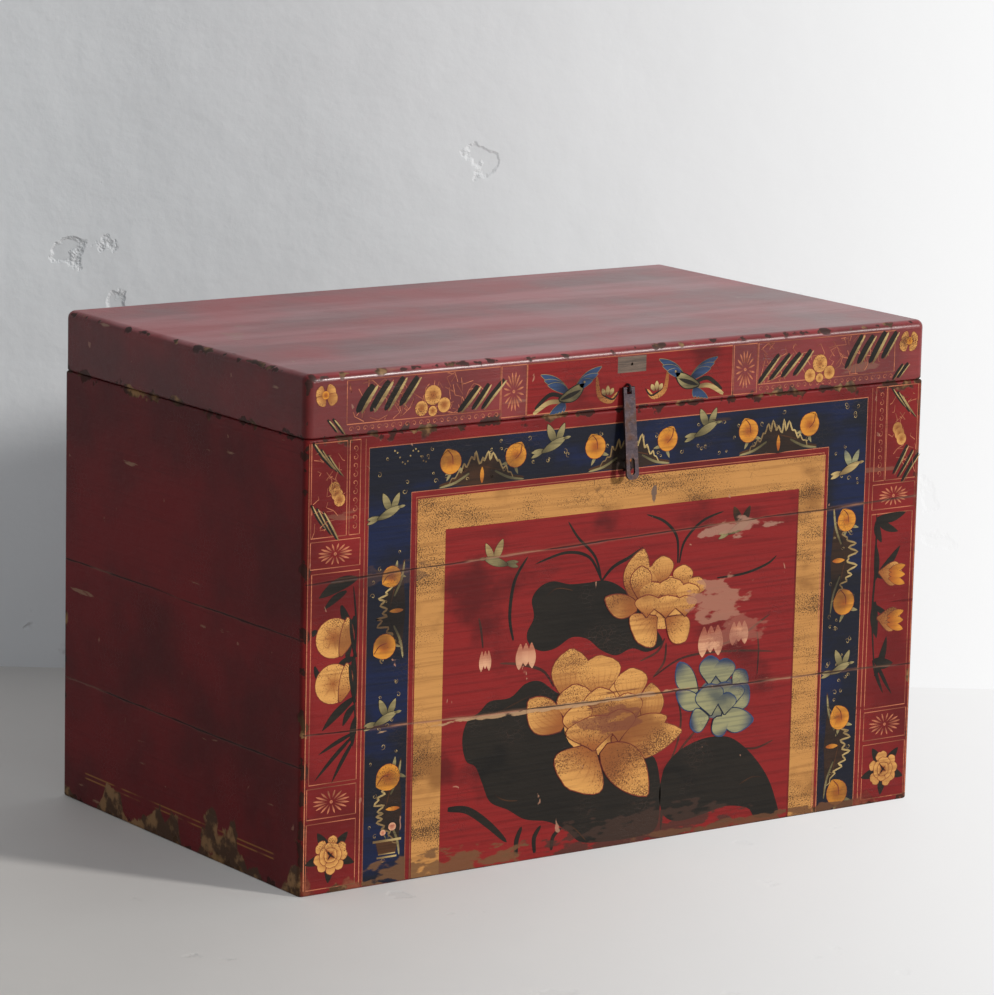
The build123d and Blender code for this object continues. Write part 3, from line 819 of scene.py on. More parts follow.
def box_lines(ply, a0, d0, a1, d1, width, level):
    """Four ruled lines round a rectangle."""
    line(ply, [(a0, d0), (a1, d0)], width, level)
    line(ply, [(a1, d0), (a1, d1)], width, level)
    line(ply, [(a1, d1), (a0, d1)], width, level)
    line(ply, [(a0, d1), (a0, d0)], width, level)


def petal(ply, root, tip, width, level, blunt=1.0, grow=0.0, bend=0.0):
    """A petal from root to tip. blunt moves its widest place to the tip, and bend curves it."""
    length = math.hypot(tip[0] - root[0], tip[1] - root[1])
    ca, cd = (tip[0] - root[0]) / length, (tip[1] - root[1]) / length
    rows = []
    steps = 10
    for i in range(steps + 1):
        t = i / steps
        half = width / 2 * math.sin(math.pi * (0.04 + 0.95 * t) ** blunt) ** 0.75 + grow
        half = max(half, 0.15)
        reach = -grow + (length + 2 * grow) * t
        side = bend * math.sin(math.pi * t)
        mid = (root[0] + ca * reach - cd * side, root[1] + cd * reach + ca * side)
        rows.append([
            (mid[0] - cd * half * k, mid[1] + ca * half * k, 0.5 + 0.5 * k, t)
            for k in (-1, -0.5, 0, 0.5, 1)
        ])
    ply.grid(rows, level)


def edged_petal(
    painter, motif, root, tip, width, level, material="petal", rim="outline", blunt=1.0, bend=0.0,
    edge=0.8,
):
    """A petal on a slightly larger one, which shows as its outline."""
    petal(painter.ply(motif, rim), root, tip, width, level, blunt, edge, bend)
    petal(painter.ply(motif, material), root, tip, width, level + 1, blunt, 0.0, bend)


def disc(ply, middle, radius, level, squash=1.0, sides=18):
    """A round patch, shaded from its middle."""
    rows = []
    for i in range(sides + 1):
        turn = 2 * math.pi * i / sides
        ca, cd = math.cos(turn), math.sin(turn) * squash
        rows.append([
            (middle[0] + ca * radius * k, middle[1] + cd * radius * k, i / sides, k)
            for k in (0.02, 0.6, 1.0)
        ])
    ply.grid(rows, level)


def curl(ply, middle, size, level, turn=0.0, hand=1, width=0.8):
    """A small spiral of thin paint."""
    points = []
    for i in range(9):
        angle = turn + hand * i * 0.75
        radius = size * (1 - i / 10)
        points.append((middle[0] + radius * math.cos(angle), middle[1] + radius * math.sin(angle)))
    stroke(ply, points, width, level, 0.4, 0.8, 3)


def stray_curl(ply, draw, middle, largest):
    """A curl of chance size, turn and hand."""
    size = draw.uniform(1.6, largest)
    turn = draw.uniform(0, 6)
    curl(ply, middle, size, 3, turn, draw.choice((-1, 1)), 0.6)


def running_scroll(ply, a0, d0, a1, d1, pitch, level, size):
    """Curls that follow each other along a band."""
    run = math.hypot(a1 - a0, d1 - d0)
    count = max(int(run / pitch), 1)
    way = math.atan2(d1 - d0, a1 - a0)
    for i in range(count):
        t = (i + 0.5) / count
        middle = (a0 + (a1 - a0) * t, d0 + (d1 - d0) * t)
        curl(ply, middle, size, level, way + (math.pi if i % 2 else 0), 1 if i % 2 else -1, 0.75)


def rosette(painter, motif, middle, size, level, spread=1.0):
    """Thin rays round a dot, in gold pink."""
    ply = painter.ply(motif, "line")
    rays = 16
    for i in range(rays):
        turn = 2 * math.pi * (i + 0.5) / rays
        ca, cd = math.cos(turn) * spread, math.sin(turn)
        start = 0.26 if i % 2 else 0.36
        root = (middle[0] + ca * size * start, middle[1] + cd * size * start)
        tip = (middle[0] + ca * size, middle[1] + cd * size)
        petal(ply, root, tip, 1.9, level, 1.3)
    disc(ply, middle, 1.7, level)


def slashes(painter, motif, spots, length, lean, level, width=3.4):
    """Dark bamboo blades, each with a pale gold edge."""
    gold = painter.ply(motif, "cream")
    dark = painter.ply(motif, "leaf")
    draw = random.Random(len(spots) + int(spots[0][0]))
    for a, d in spots:
        half = length * draw.uniform(0.4, 0.54)
        slope = lean / length * half * draw.uniform(0.9, 1.15)
        broad = width * draw.uniform(0.85, 1.2)
        ends = [(a - slope, d + half), (a + draw.uniform(-1, 1), d), (a + slope, d - half)]
        stroke(dark, ends, broad, level, 0.15, 0.5)
        beside = [(x + broad * 0.58, y + 1.2) for x, y in ends]
        stroke(gold, beside, broad * draw.uniform(0.3, 0.5), level + 1, 0.1, 0.3)


def blossom(painter, motif, middle, size, level):
    """A plum blossom seen from the side: three full petals, a small one and a crushed heart."""
    patches = ((-1.12, 0.42, 0.62), (1.12, 0.3, 0.62), (0, 0.72, 0.42), (0, -0.6, 0.82))
    for across, down, grow in patches:
        spot = (middle[0] + across * size, middle[1] + down * size)
        disc(painter.ply(motif, "outline"), spot, size * grow + 0.5, level)
        disc(painter.ply(motif, "petal"), spot, size * grow, level + 1)


def ball_fruit(painter, motif, middle, size, level, turn=-math.pi / 2):
    """A round orange fruit with a cleft, a blunt tip and two leaves."""
    ca, cd = math.cos(turn), math.sin(turn)
    for side in (-1, 1):
        spread = turn + math.pi + side * 0.9
        root = (middle[0] - ca * size * 0.5, middle[1] - cd * size * 0.5)
        tip = (root[0] + math.cos(spread) * size * 1.2, root[1] + math.sin(spread) * size * 1.2)
        petal(painter.ply(motif, "bird"), root, tip, size * 0.3, level)
    top = (middle[0] + ca * size * 1.16, middle[1] + cd * size * 1.16)
    petal(painter.ply(motif, "fruit"), middle, top, size * 1.5, level + 1, 0.8)
    disc(painter.ply(motif, "outline"), middle, size + 0.5, level + 1, 0.97)
    disc(painter.ply(motif, "fruit"), middle, size, level + 2, 0.97)
    cleft = [
        (middle[0] + ca * size * k - cd * size * w, middle[1] + cd * size * k + ca * size * w)
        for k, w in ((1.1, 0.05), (0.4, 0.3), (-0.3, 0.1))
    ]
    stroke(painter.ply(motif, "outline"), cleft, size * 0.09, level + 3)


def jagged_rock(painter, motif, middle, width, height, level, turn=0.0, seed=1):
    """A brown mound under a jagged gold ridge, with a bright cleft in it."""
    draw = random.Random(seed)
    cos_t, sin_t = math.cos(turn), math.sin(turn)

    def turned(a, d):
        return (middle[0] + a * cos_t - d * sin_t, middle[1] + a * sin_t + d * cos_t)

    count = 23
    ridge = []
    for i in range(count):
        t = i / (count - 1)
        hump = math.sin(math.pi * t) ** 0.8 * (0.72 + 0.28 * abs(math.cos(3 * math.pi * t)))
        rise = hump * (1.0 if i % 2 else 0.72) * draw.uniform(0.86, 1.08)
        shift = width * draw.uniform(-0.018, 0.018)
        ridge.append(turned((t - 0.5) * width + shift, -height * rise + height * 0.4))
    base = [turned(width * k, height * d) for k, d in ((0.42, 0.42), (0, 0.5), (-0.42, 0.42))]
    painter.ply(motif, "brown").outline(ridge + base, level, 0.3)
    stroke(painter.ply(motif, "cream"), ridge, 2.1, level + 1, 0.3, 0.3, 3)
    low = [
        turned(a * width, -height * 0.08 + height * 0.3 * (abs(a) * 2))
        for a in (-0.3, -0.15, 0, 0.15, 0.3)
    ]
    line(painter.ply(motif, "brown"), low, 1.2, level + 1)
    root, tip = turned(0, height * 0.42), turned(0, -height * 0.06)
    petal(painter.ply(motif, "fruit"), root, tip, width * 0.06, level + 2)
    for side in (-1, 1):
        slope = [
            turned(side * width * k, height * d)
            for k, d in ((0.2, 0.1), (0.42, 0.34), (0.66, 0.44))
        ]
        stroke(painter.ply(motif, "bird"), slope, 2.6, level + 1, 0.6, 0.1)
        stroke(painter.ply(motif, "brown"), [(x, y - 2) for x, y in slope], 3.4, level, 0.6, 0.2)


def swallow(
    painter, motif, middle, size, level, facing=1, lift=0.3, material="bird", wing="bird",
    edge="leaf",
):
    """A small bird: two wings, a body, a forked tail and a beak."""
    a, d = middle

    def spot(x, y):
        return (a + facing * x * size, d + (y - x * lift * 0.3) * size)

    def part(root, tip, width, lift_level, colour, blunt, rim):
        edged_petal(
            painter, motif, spot(*root), spot(*tip), size * width, level + lift_level, colour, edge,
            blunt, 0.0, rim,
        )

    part((0.1, -0.05), (-0.25, -0.85), 0.34, 0, wing, 0.9, 0.4)
    part((0.2, -0.02), (0.55, -0.7), 0.3, 0, wing, 0.9, 0.4)
    for k in (-0.18, 0.02):
        part((-0.35, 0.1), (-1.0, 0.25 + k), 0.17, 0, material, 1.2, 0.3)
    part((-0.5, 0.18), (0.62, -0.12), 0.34, 2, material, 1.1, 0.4)
    petal(painter.ply(motif, material), spot(0.5, -0.1), spot(0.85, -0.1), size * 0.12, level + 3)


def peony(painter, motif, middle, size, level, seed=3):
    """A full flower of overlapping ruffled petals, with dark leaves behind it."""
    draw = random.Random(seed)
    for i in range(5):
        turn = 2 * math.pi * i / 5 + 0.4
        tip = (middle[0] + math.cos(turn) * size * 1.45, middle[1] + math.sin(turn) * size * 1.35)
        petal(painter.ply(motif, "leaf"), middle, tip, size * 0.5, level)
    for ring, count in ((0.95, 9), (0.62, 7), (0.34, 4)):
        level += 2
        for i in range(count):
            turn = 2 * math.pi * i / count + draw.uniform(-0.25, 0.25)
            root, tip = (
                (middle[0] + math.cos(turn) * reach, middle[1] + math.sin(turn) * reach)
                for reach in (size * ring * 0.25, size * ring)
            )
            edged_petal(
                painter, motif, root, tip, size * 0.52, level, "petal", "outline", 1.9, 0, 0.5
            )


def small_vase(painter, motif, middle, half, level):
    """A low bowl on a foot, with two flowers on short stems."""
    a, d = middle
    bowl = [
        (a + half * across, d + half * down)
        for across, down in ((-0.8, 0), (0.8, 0), (0.6, 0.8), (-0.6, 0.8))
    ]
    painter.ply(motif, "brown").outline(bowl, level)
    pale = painter.ply(motif, "cream")
    line(pale, [(a - half, d), (a + half, d)], 2.4, level + 1)
    line(pale, [(a - half * 0.7, d + half), (a + half * 0.7, d + half)], 1.8, level + 1)
    line(pale, [(a - half * 0.6, d + half * 0.8), (a + half * 0.6, d + half * 0.8)], 1.2, level + 1)
    for across, up, size in ((-0.3, 0.5, 3.4), (0.35, 0.8, 4.6)):
        top = (a + across * half, d - up * half)
        stroke(painter.ply(motif, "bird"), [(a, d), top], 1.2, level)
        disc(painter.ply(motif, "bud"), top, size, level + 1, 0.9)


def leafy_branch(painter, motif, spots, level):
    """Dark narrow leaves: each spot is a root, a tip and a width."""
    for root, tip, width in spots:
        petal(painter.ply(motif, "leaf"), root, tip, width * 1.5, level, 0.9, 0.0, width * 0.3)


def u_strip(ply, a0, a1, d0, width_side, width_top, foot, level):
    """An upside-down U of flat paint: two posts and the rail that joins them."""
    rows = []
    outer = [(a0, foot), (a0, d0), (a1, d0), (a1, foot)]
    inner = [
        (a0 + width_side, foot), (a0 + width_side, d0 + width_top),
        (a1 - width_side, d0 + width_top), (a1 - width_side, foot),
    ]
    for (p, q), (r, s) in zip(outer, inner):
        rows.append([(p, q, 0, 0.8), (r, s, 1, 0.8)])
    ply.grid(rows, level)


# Layout of the front, in millimetres across and down
FOOT = (BODY_HIGH.z - BODY_LOW.z) / MM - FOOT_MARGIN / MM
BLUE = dict(a0=74, a1=704, d0=13.5, width_side=51, width_top=49)
GOLD = dict(a0=132.5, a1=649, d0=70, width_side=34, width_top=33.5)
GOLD_RIGHT_INNER = 612.5

UPPER_LEAF = [
    (274, 186), (284, 174), (300, 170), (320, 175), (342, 176), (366, 176), (386, 185), (400, 198),
    (417, 216), (434, 236), (441, 250), (422, 257), (402, 251), (382, 256), (362, 248), (345, 235),
    (325, 231), (305, 240), (287, 241), (272, 232), (269, 220), (277, 205),
]
LOWER_LEAF = [
    (192, 322), (198, 303), (212, 296), (225, 286), (250, 285), (268, 273), (286, 272), (304, 284),
    (330, 302), (366, 345), (400, 372), (432, 368), (443, 395), (444, 425), (437, 449), (402, 453),
    (370, 452), (342, 448), (324, 433), (300, 421), (272, 415), (250, 402), (228, 391), (218, 371),
    (209, 352), (197, 344),
]
RIGHT_LEAF = [
    (445, 395), (451, 380), (470, 366), (500, 358), (530, 360), (551, 372), (570, 390), (586, 411),
    (597, 435), (600, 453), (572, 453), (560, 441), (530, 435), (500, 440), (470, 443), (451, 436),
    (443, 416),
]


def lotus(painter, motif, petals, heart, level, material="petal", rim="outline", edge=0.9):
    """Petals in painting order: each is a root, a tip, a width, how blunt it is and its bend.

    The heart is a middle, a radius and a flatness: a patch that fills between the petals.
    """
    middle, radius, flat = heart
    disc(painter.ply(motif, material), middle, radius, level - 1, flat, 24)
    for i, (root, tip, width, blunt, bend) in enumerate(petals):
        edged_petal(
            painter, motif, root, tip, width * 1.16, level + i * 0.9, material, rim, blunt * 0.92,
            bend, edge,
        )


BIG_LOTUS = [
    ((324, 302), (325, 243), 41, 1.6, 0),
    ((361, 306), (360, 254), 48, 2.0, 0),
    ((402, 316), (402, 272), 36, 2.0, 0),
    ((423, 338), (428, 291), 26, 1.4, 4),
    ((316, 325), (273, 291), 32, 1.2, -3),
    ((331, 330), (330, 281), 38, 2.0, 0),
    ((397, 338), (396, 298), 36, 2.0, 0),
    ((364, 336), (361, 288), 36, 2.0, 0),
    ((388, 344), (449, 329), 28, 1.0, 3),
    ((379, 348), (469, 346), 34, 0.9, 3),
    ((355, 346), (324, 388), 63, 1.7, -4),
    ((369, 353), (427, 409), 38, 0.95, -4),
    ((340, 338), (332, 303), 32, 2.0, 0),
    ((388, 347), (389, 314), 34, 2.0, 0),
    ((356, 353), (354, 317), 59, 1.9, 0),
]
UPPER_LOTUS = [
    ((405, 202), (413, 148), 28, 1.1, -4),
    ((424, 192), (426, 167), 20, 1.9, 0),
    ((439, 191), (438, 158), 24, 1.9, 0),
    ((463, 197), (466, 170), 22, 1.9, 0),
    ((479, 205), (487, 185), 21, 1.8, 0),
    ((411, 203), (411, 166), 23, 1.7, 0),
    ((426, 209), (424, 184), 27, 2.0, 0),
    ((449, 210), (449, 182), 28, 2.0, 0),
    ((471, 214), (472, 190), 26, 2.0, 0),
    ((407, 209), (366, 195), 21, 1.0, -3),
    ((432, 221), (408, 244), 40, 1.7, 3),
    ((445, 224), (471, 250), 26, 1.5, -3),
    ((419, 220), (420, 197), 27, 2.0, 0),
    ((444, 223), (444, 200), 32, 2.0, 0),
    ((469, 224), (469, 203), 26, 2.0, 0),
]
BLUE_LOTUS = [
    ((488, 307), (463, 274), 20, 1.3, -3),
    ((504, 300), (504, 271), 23, 1.6, 0),
    ((522, 302), (524, 276), 24, 1.6, 0),
    ((536, 309), (551, 292), 20, 1.5, 0),
    ((495, 322), (462, 305), 17, 1.1, -2),
    ((530, 329), (555, 308), 24, 1.3, 2),
    ((523, 325), (522, 301), 25, 1.9, 0),
    ((538, 325), (540, 305), 19, 1.8, 0),
    ((504, 336), (481, 342), 22, 1.4, 2),
    ((522, 336), (563, 346), 22, 1.0, 3),
    ((513, 338), (524, 357), 20, 1.2, -2),
    ((507, 334), (503, 301), 31, 1.8, 0),
    ((525, 335), (529, 313), 21, 1.8, 0),
]
STEMS = [
    ([(361, 176), (352, 150), (330, 128), (317, 110)], 2.4),
    ([(361, 176), (345, 150), (315, 142), (277, 150)], 2.6),
    ([(361, 176), (375, 163), (395, 155), (413, 146)], 3.0),
    ([(458, 167), (456, 140), (440, 122), (416, 112)], 2.6),
    ([(460, 167), (466, 145), (488, 126), (516, 118)], 2.4),
    ([(510, 188), (545, 187), (575, 180), (588, 172)], 2.2),
    ([(252, 226), (247, 200), (252, 165), (268, 141)], 3.2),
    ([(215, 230), (212, 210), (209, 198)], 2.0),
    ([(304, 280), (290, 262), (262, 252), (236, 248)], 2.4),
    ([(444, 245), (435, 258), (412, 266)], 2.0),
    ([(446, 250), (444, 270), (430, 285)], 2.2),
    ([(430, 285), (470, 268), (530, 268), (590, 275)], 2.0),
    ([(505, 262), (540, 255), (570, 240), (582, 234)], 1.8),
    ([(459, 300), (468, 330), (464, 360), (448, 392)], 2.0),
    ([(445, 395), (470, 365), (484, 352), (492, 344)], 2.2),
    ([(550, 375), (570, 377), (592, 371)], 1.8),
    ([(446, 450), (447, 420), (444, 400)], 2.4),
    ([(567, 298), (568, 270), (565, 250)], 1.6),
]
DARK_STEMS = STEMS[:7]
GRASSES = [
    ([(176, 392), (200, 396), (226, 414), (250, 436)], 7.0),
    ([(262, 452), (262, 436), (268, 422)], 5.0),
    ([(285, 452), (284, 436), (292, 424)], 4.6),
    ([(306, 452), (308, 438), (318, 430)], 4.0),
]
LEAF_VEINS = [
    [(300, 421), (330, 430), (350, 448)],
    [(232, 378), (236, 386), (248, 392), (262, 394)],
    [(286, 283), (262, 290), (232, 300)],
    [(585, 411), (565, 408), (548, 414)],
    [(290, 186), (305, 178), (325, 182)],
    [(390, 230), (410, 240), (428, 247)],
]


# Leaves beside the fruit: root, tip and width
LEFT_LEAVES = [
    ((62, 142), (18, 158), 9), ((50, 154), (24, 170), 5), ((44, 168), (60, 196), 6),
    ((16, 190), (11, 196), 4), ((60, 180), (52, 230), 6), ((60, 222), (38, 232), 5),
    ((14, 226), (24, 246), 4), ((60, 220), (63, 262), 5), ((62, 262), (24, 292), 6),
    ((62, 270), (48, 290), 5), ((63, 282), (60, 312), 5), ((62, 298), (20, 316), 3),
    ((62, 300), (16, 342), 3), ((62, 305), (36, 346), 3),
]
RIGHT_LEAVES = [
    ((722, 146), (762, 142), 7), ((722, 146), (752, 162), 6), ((722, 148), (730, 172), 6),
    ((724, 212), (722, 172), 5), ((724, 210), (756, 178), 6), ((722, 206), (748, 208), 5),
    ((724, 236), (728, 276), 7), ((724, 240), (744, 252), 4), ((728, 318), (742, 276), 6),
    ((726, 300), (752, 306), 8), ((728, 300), (752, 340), 3), ((724, 300), (740, 338), 3),
]


def paint_body_ground(p):
    """The red panel, the blue border, the gold frame and their rules."""
    width = bpy.context.scene.chest_sizes.line_width
    p.ply("panel", "panel").outline(
        [(166.5, FOOT), (166.5, 103.5), (GOLD_RIGHT_INNER, 103.5), (GOLD_RIGHT_INNER, FOOT)], 1
    )
    u_strip(p.ply("border", "blue"), **BLUE, foot=FOOT, level=2)
    u_strip(p.ply("frame", "gold"), **GOLD, foot=FOOT, level=3)
    lines = p.ply("rules", "line")
    for inset, level in ((0, 3), (51, 3), (56.8, 3)):
        a0, a1, d = BLUE["a0"] + inset, BLUE["a1"] - inset, BLUE["d0"] + inset * 0.96
        line(lines, [(a0, FOOT), (a0, d), (a1, d), (a1, FOOT)], width, level)


def paint_blue_border(p):
    """Fruit, rocks, birds and curls on the blue."""
    for i, a in enumerate((171, 250, 348.5, 440, 545, 626)):
        ball_fruit(p, "border", (a, 36), 12.5, 3, -math.pi / 2 + (0.5 if i % 2 else -0.4))
    for i, a in enumerate((209, 392, 585)):
        jagged_rock(p, "border", (a, 46), 78, 34, 3, 0.0, i + 4)
    for a, facing in ((295, 1), (488, 1)):
        swallow(p, "border", (a, 29), 26, 5, facing, 0.6)
    left, right = 99, 680
    for d, size in ((145, 11), (215, 13), (349, 14)):
        ball_fruit(p, "border", (left + (4 if d != 215 else -3), d), size, 3, 2.6)
    for d, size in ((143.5, 12), (232, 14), (358, 13), (440, 14)):
        ball_fruit(p, "border", (right + 1, d), size, 3, -2.0)
    for i, d in enumerate((180, 382)):
        jagged_rock(p, "border", (left + 4, d), 74, 34, 3, -math.pi / 2, i + 11)
        jagged_rock(p, "border", (right - 2, d + 6), 86, 34, 3, math.pi / 2, i + 21)
    for d, facing in ((80, 1), (288, 1)):
        swallow(p, "border", (left - 2, d), 24, 5, facing, 0.5)
    swallow(p, "border", (right + 1, 87), 24, 5, 1, 0.5, "cream", "lotus_blue")
    swallow(p, "border", (right - 2, 303), 24, 5, 1, 0.3)
    pale = p.ply("border_curls", "cream")
    draw = random.Random(8)
    for _ in range(70):
        a = draw.uniform(82, 696)
        stray_curl(pale, draw, (a, draw.uniform(19, 56)), 3.2)
    for _ in range(70):
        side = draw.choice((80, 660))
        spot = (side + draw.uniform(0, 38), draw.uniform(60, 440))
        stray_curl(pale, draw, spot, 3.4)
    for i in range(14):
        disc(pale, (104 + i * 3.1, 19 + 14 * math.sin(i * 0.4) ** 2), 0.9, 3, 1, 8)
    small_vase(p, "border_vase", (103, 414), 17, 4)


def paint_middle(p):
    """Lotus, leaves, birds and grasses on the red panel."""
    leaves = {"upper_leaf": UPPER_LEAF, "lower_leaf": LOWER_LEAF, "right_leaf": RIGHT_LEAF}
    for name, points in leaves.items():
        outline = curve_through(points, 5, True)
        p.ply(name, "leaf").outline(outline, 3, 0.5)
    veins = p.ply("leaf_veins", "brown")
    for points in LEAF_VEINS:
        stroke(veins, points, 1.3, 4)
    stems = p.ply("stems", "stem")
    for points, width in STEMS:
        stroke(stems, points, width * 1.3, 2, 0.3, 0.08)
    dark = p.ply("grasses", "leaf")
    for points, width in GRASSES + DARK_STEMS:
        stroke(dark, points, width * 1.15, 3, 0.5, 0.05)
    lotus(p, "upper_lotus", UPPER_LOTUS, ((442, 207), 31, 0.9), 5)
    lotus(p, "big_lotus", BIG_LOTUS, ((370, 322), 52, 0.72), 5)
    lotus(p, "blue_lotus", BLUE_LOTUS, ((516, 316), 28, 0.8), 5, "lotus_blue", "bird_blue", 1.1)
    buds = ((218, 242, 12, 22), (268, 242, 20, 28), (504, 252, 26, 34), (541, 248, 20, 26))
    for a, d, wide, tall in buds:
        for k in range(3):
            lean = (k - 1) * wide * 0.34
            spot = (a + lean, d - tall * 0.4), (a + lean * 1.2, d + tall * (0.55 - 0.12 * (k % 2)))
            petal(p.ply("buds", "bud"), *spot, wide * 0.5, 4, 1.2)
    swallow(p, "panel_birds", (230, 142), 26, 4, -1, 0.2, "bird", "cream", "stem")
    swallow(p, "panel_birds", (536, 136), 26, 4, 1, 0.5, "bird", "brown", "stem")


def paint_side_strip(p, side):
    """Bamboo, rosettes, a fruit branch and a peony down one side."""
    motif = "left" if side < 0 else "right"
    width = bpy.context.scene.chest_sizes.line_width
    lines = p.ply(f"{motif}_rules", "line")
    full = 2 * HALF_WIDTH / MM

    def at(a):
        return a if side < 0 else full - a

    drop = 0 if side < 0 else 7
    scroll = (51.5, 64) if side < 0 else (50, 64.5)
    for a0, d0, a1, d1 in (
        (7, 4, 48.5, 98 + drop), (scroll[0], 4, scroll[1], 98 + drop), (7, 102 + drop, 65, 129 + drop),
        (9, 134 + drop, 65, 346 + drop), (7, 350 + drop, 65, 381 + drop), (7, 386 + drop, 65, 453),
    ):
        box_lines(lines, at(a0), d0, at(a1), d1, width * 0.8, 1)
    line(lines, [(at(4.5), 4), (at(4.5), 453)], width, 1)
    line(lines, [(at(70), 4), (at(70), 455)], width * 0.9, 1)
    scroll_middle = at((scroll[0] + scroll[1]) / 2)
    running_scroll(lines, scroll_middle, 8, scroll_middle, 94 + drop, 8, 1, 3.6)
    slashes(p, motif, [(at(27) + k * 7, 22 + k * 5) for k in (-1, 0, 1)], 26, -20, 1, 3.6)
    low_blades = [(at(22) + k * 7, 82 + k * 5 + drop) for k in (-1, 0, 1)]
    slashes(p, motif, low_blades, 30, -18 if side < 0 else 20, 1, 3.6)
    draw = random.Random(17)
    for _ in range(24):
        a, d = draw.uniform(9, 40), draw.uniform(8, 88)
        turns = [(a, d)]
        for _ in range(2):
            a = min(max(a + draw.uniform(-9, 9), 8), 47)
            d = d + draw.uniform(-4, 9)
            turns.append((a, d))
        line(lines, [(at(x), y) for x, y in turns], 0.75, 1)
    for k in range(3):
        disc(p.ply(motif, "petal"), (at(34) + k * 3, 50 + k * 6), 6.5, 2)
    rosette(p, motif, (at(36), 115.5 + drop), 10.5, 1, 1.9)
    rosette(p, motif, (at(36), 365.5 + drop), 12, 1, 1.8)
    peony(p, motif, (at(36), 420 + (2 if side > 0 else 0)), 21, 1, 5 if side < 0 else 9)
    if side < 0:
        round_fruit(p, motif)
    else:
        pale_fruit(p, motif)


def paint_side_strips(p):
    """Both narrow panels, the left one first."""
    paint_side_strip(p, -1)
    paint_side_strip(p, 1)


def round_fruit(p, motif):
    """Two large gold fruit on a leafy branch, down the left side."""
    stroke(p.ply(motif, "leaf"), [(58, 150), (62, 190), (60, 240), (64, 300)], 2.6, 3)
    leafy_branch(p, motif, LEFT_LEAVES, 2)
    size = 21
    for d in (200, 246):
        disc(p.ply(motif, "outline"), (36, d), size + 0.8, 3, 0.95, 24)
        disc(p.ply(motif, "petal"), (36, d), size, 4, 0.95, 24)
        root, tip = (44, d + size * 0.9), (52, d - size * 0.9)
        edged_petal(p, motif, root, tip, 15, 5, "petal", "outline", 1.1, 3)
        stroke(p.ply(motif, "leaf"), [(62, d + 22), (57, d), (55, d - 18)], 4, 7, 0.8, 0.2)


def pale_fruit(p, motif):
    """Two split fruit on a leafy branch, down the right side."""
    stroke(p.ply(motif, "leaf"), [(722, 140), (723, 200), (721, 250), (727, 315)], 2.6, 3)
    leafy_branch(p, motif, RIGHT_LEAVES, 2)
    for d in (208, 258):
        edged_petal(p, motif, (728, d - 4), (760, d + 2), 26, 3, "petal", "outline", 1.5)
        for k in (-1, 0, 1):
            root, tip = (742, d + k * 4), (764, d + k * 10 + 2)
            edged_petal(p, motif, root, tip, 8, 5, "fruit", "outline", 1.1, 0, 0.4)


def lid_bird(p, motif, middle, facing, level):
    """A flying bird with spread wings, a barred tail and a long streamer."""
    a, d = middle

    def spot(x, y):
        return (a + facing * x, d + y)

    def feather(root, tip, width, rise, blunt, bend):
        edged_petal(
            p, motif, spot(*root), spot(*tip), width, level + rise, "bird_blue", "bird", blunt, bend,
            0.4,
        )

    for k, (x, y) in enumerate(((-34, -14), (-30, -8), (-26, -3))):
        feather((-2, 2), (x * 1.1, y - 5), 9, k, 1.0, 2 * facing)
    for k, (x, y) in enumerate(((34, -21), (30, -14), (24, -8))):
        feather((4, 0), (x * 1.1, y - 1), 9, k, 1.0, -2 * facing)
    for k in range(5):
        feather((-8, 9), (-26 + k * 4.4, 23 - k * 0.6), 4.6, 1, 1.4, 0)
    edged_petal(
        p, motif, spot(-14, 8), spot(16, -6), 13, level + 4, "bird", "leaf", 1.1, 3 * facing, 1.0
    )
    petal(p.ply(motif, "leaf"), spot(-12, 8), spot(12, 0), 4.6, level + 6)
    streamer = [spot(-10, 5), spot(-26, 2), spot(-44, 15)]
    stroke(p.ply(motif, "leaf"), streamer, 4.5, level, 0.6, 0.5)
    disc(p.ply(motif, "bird_blue"), spot(15, -7), 5, level + 5)
    disc(p.ply(motif, "cream"), spot(16.5, -8), 1.2, level + 6, 1, 8)
    stroke(p.ply(motif, "cream"), [spot(-12, 10), spot(-28, 10), spot(-46, 20)], 5, level + 1, 0.4, 0.5)


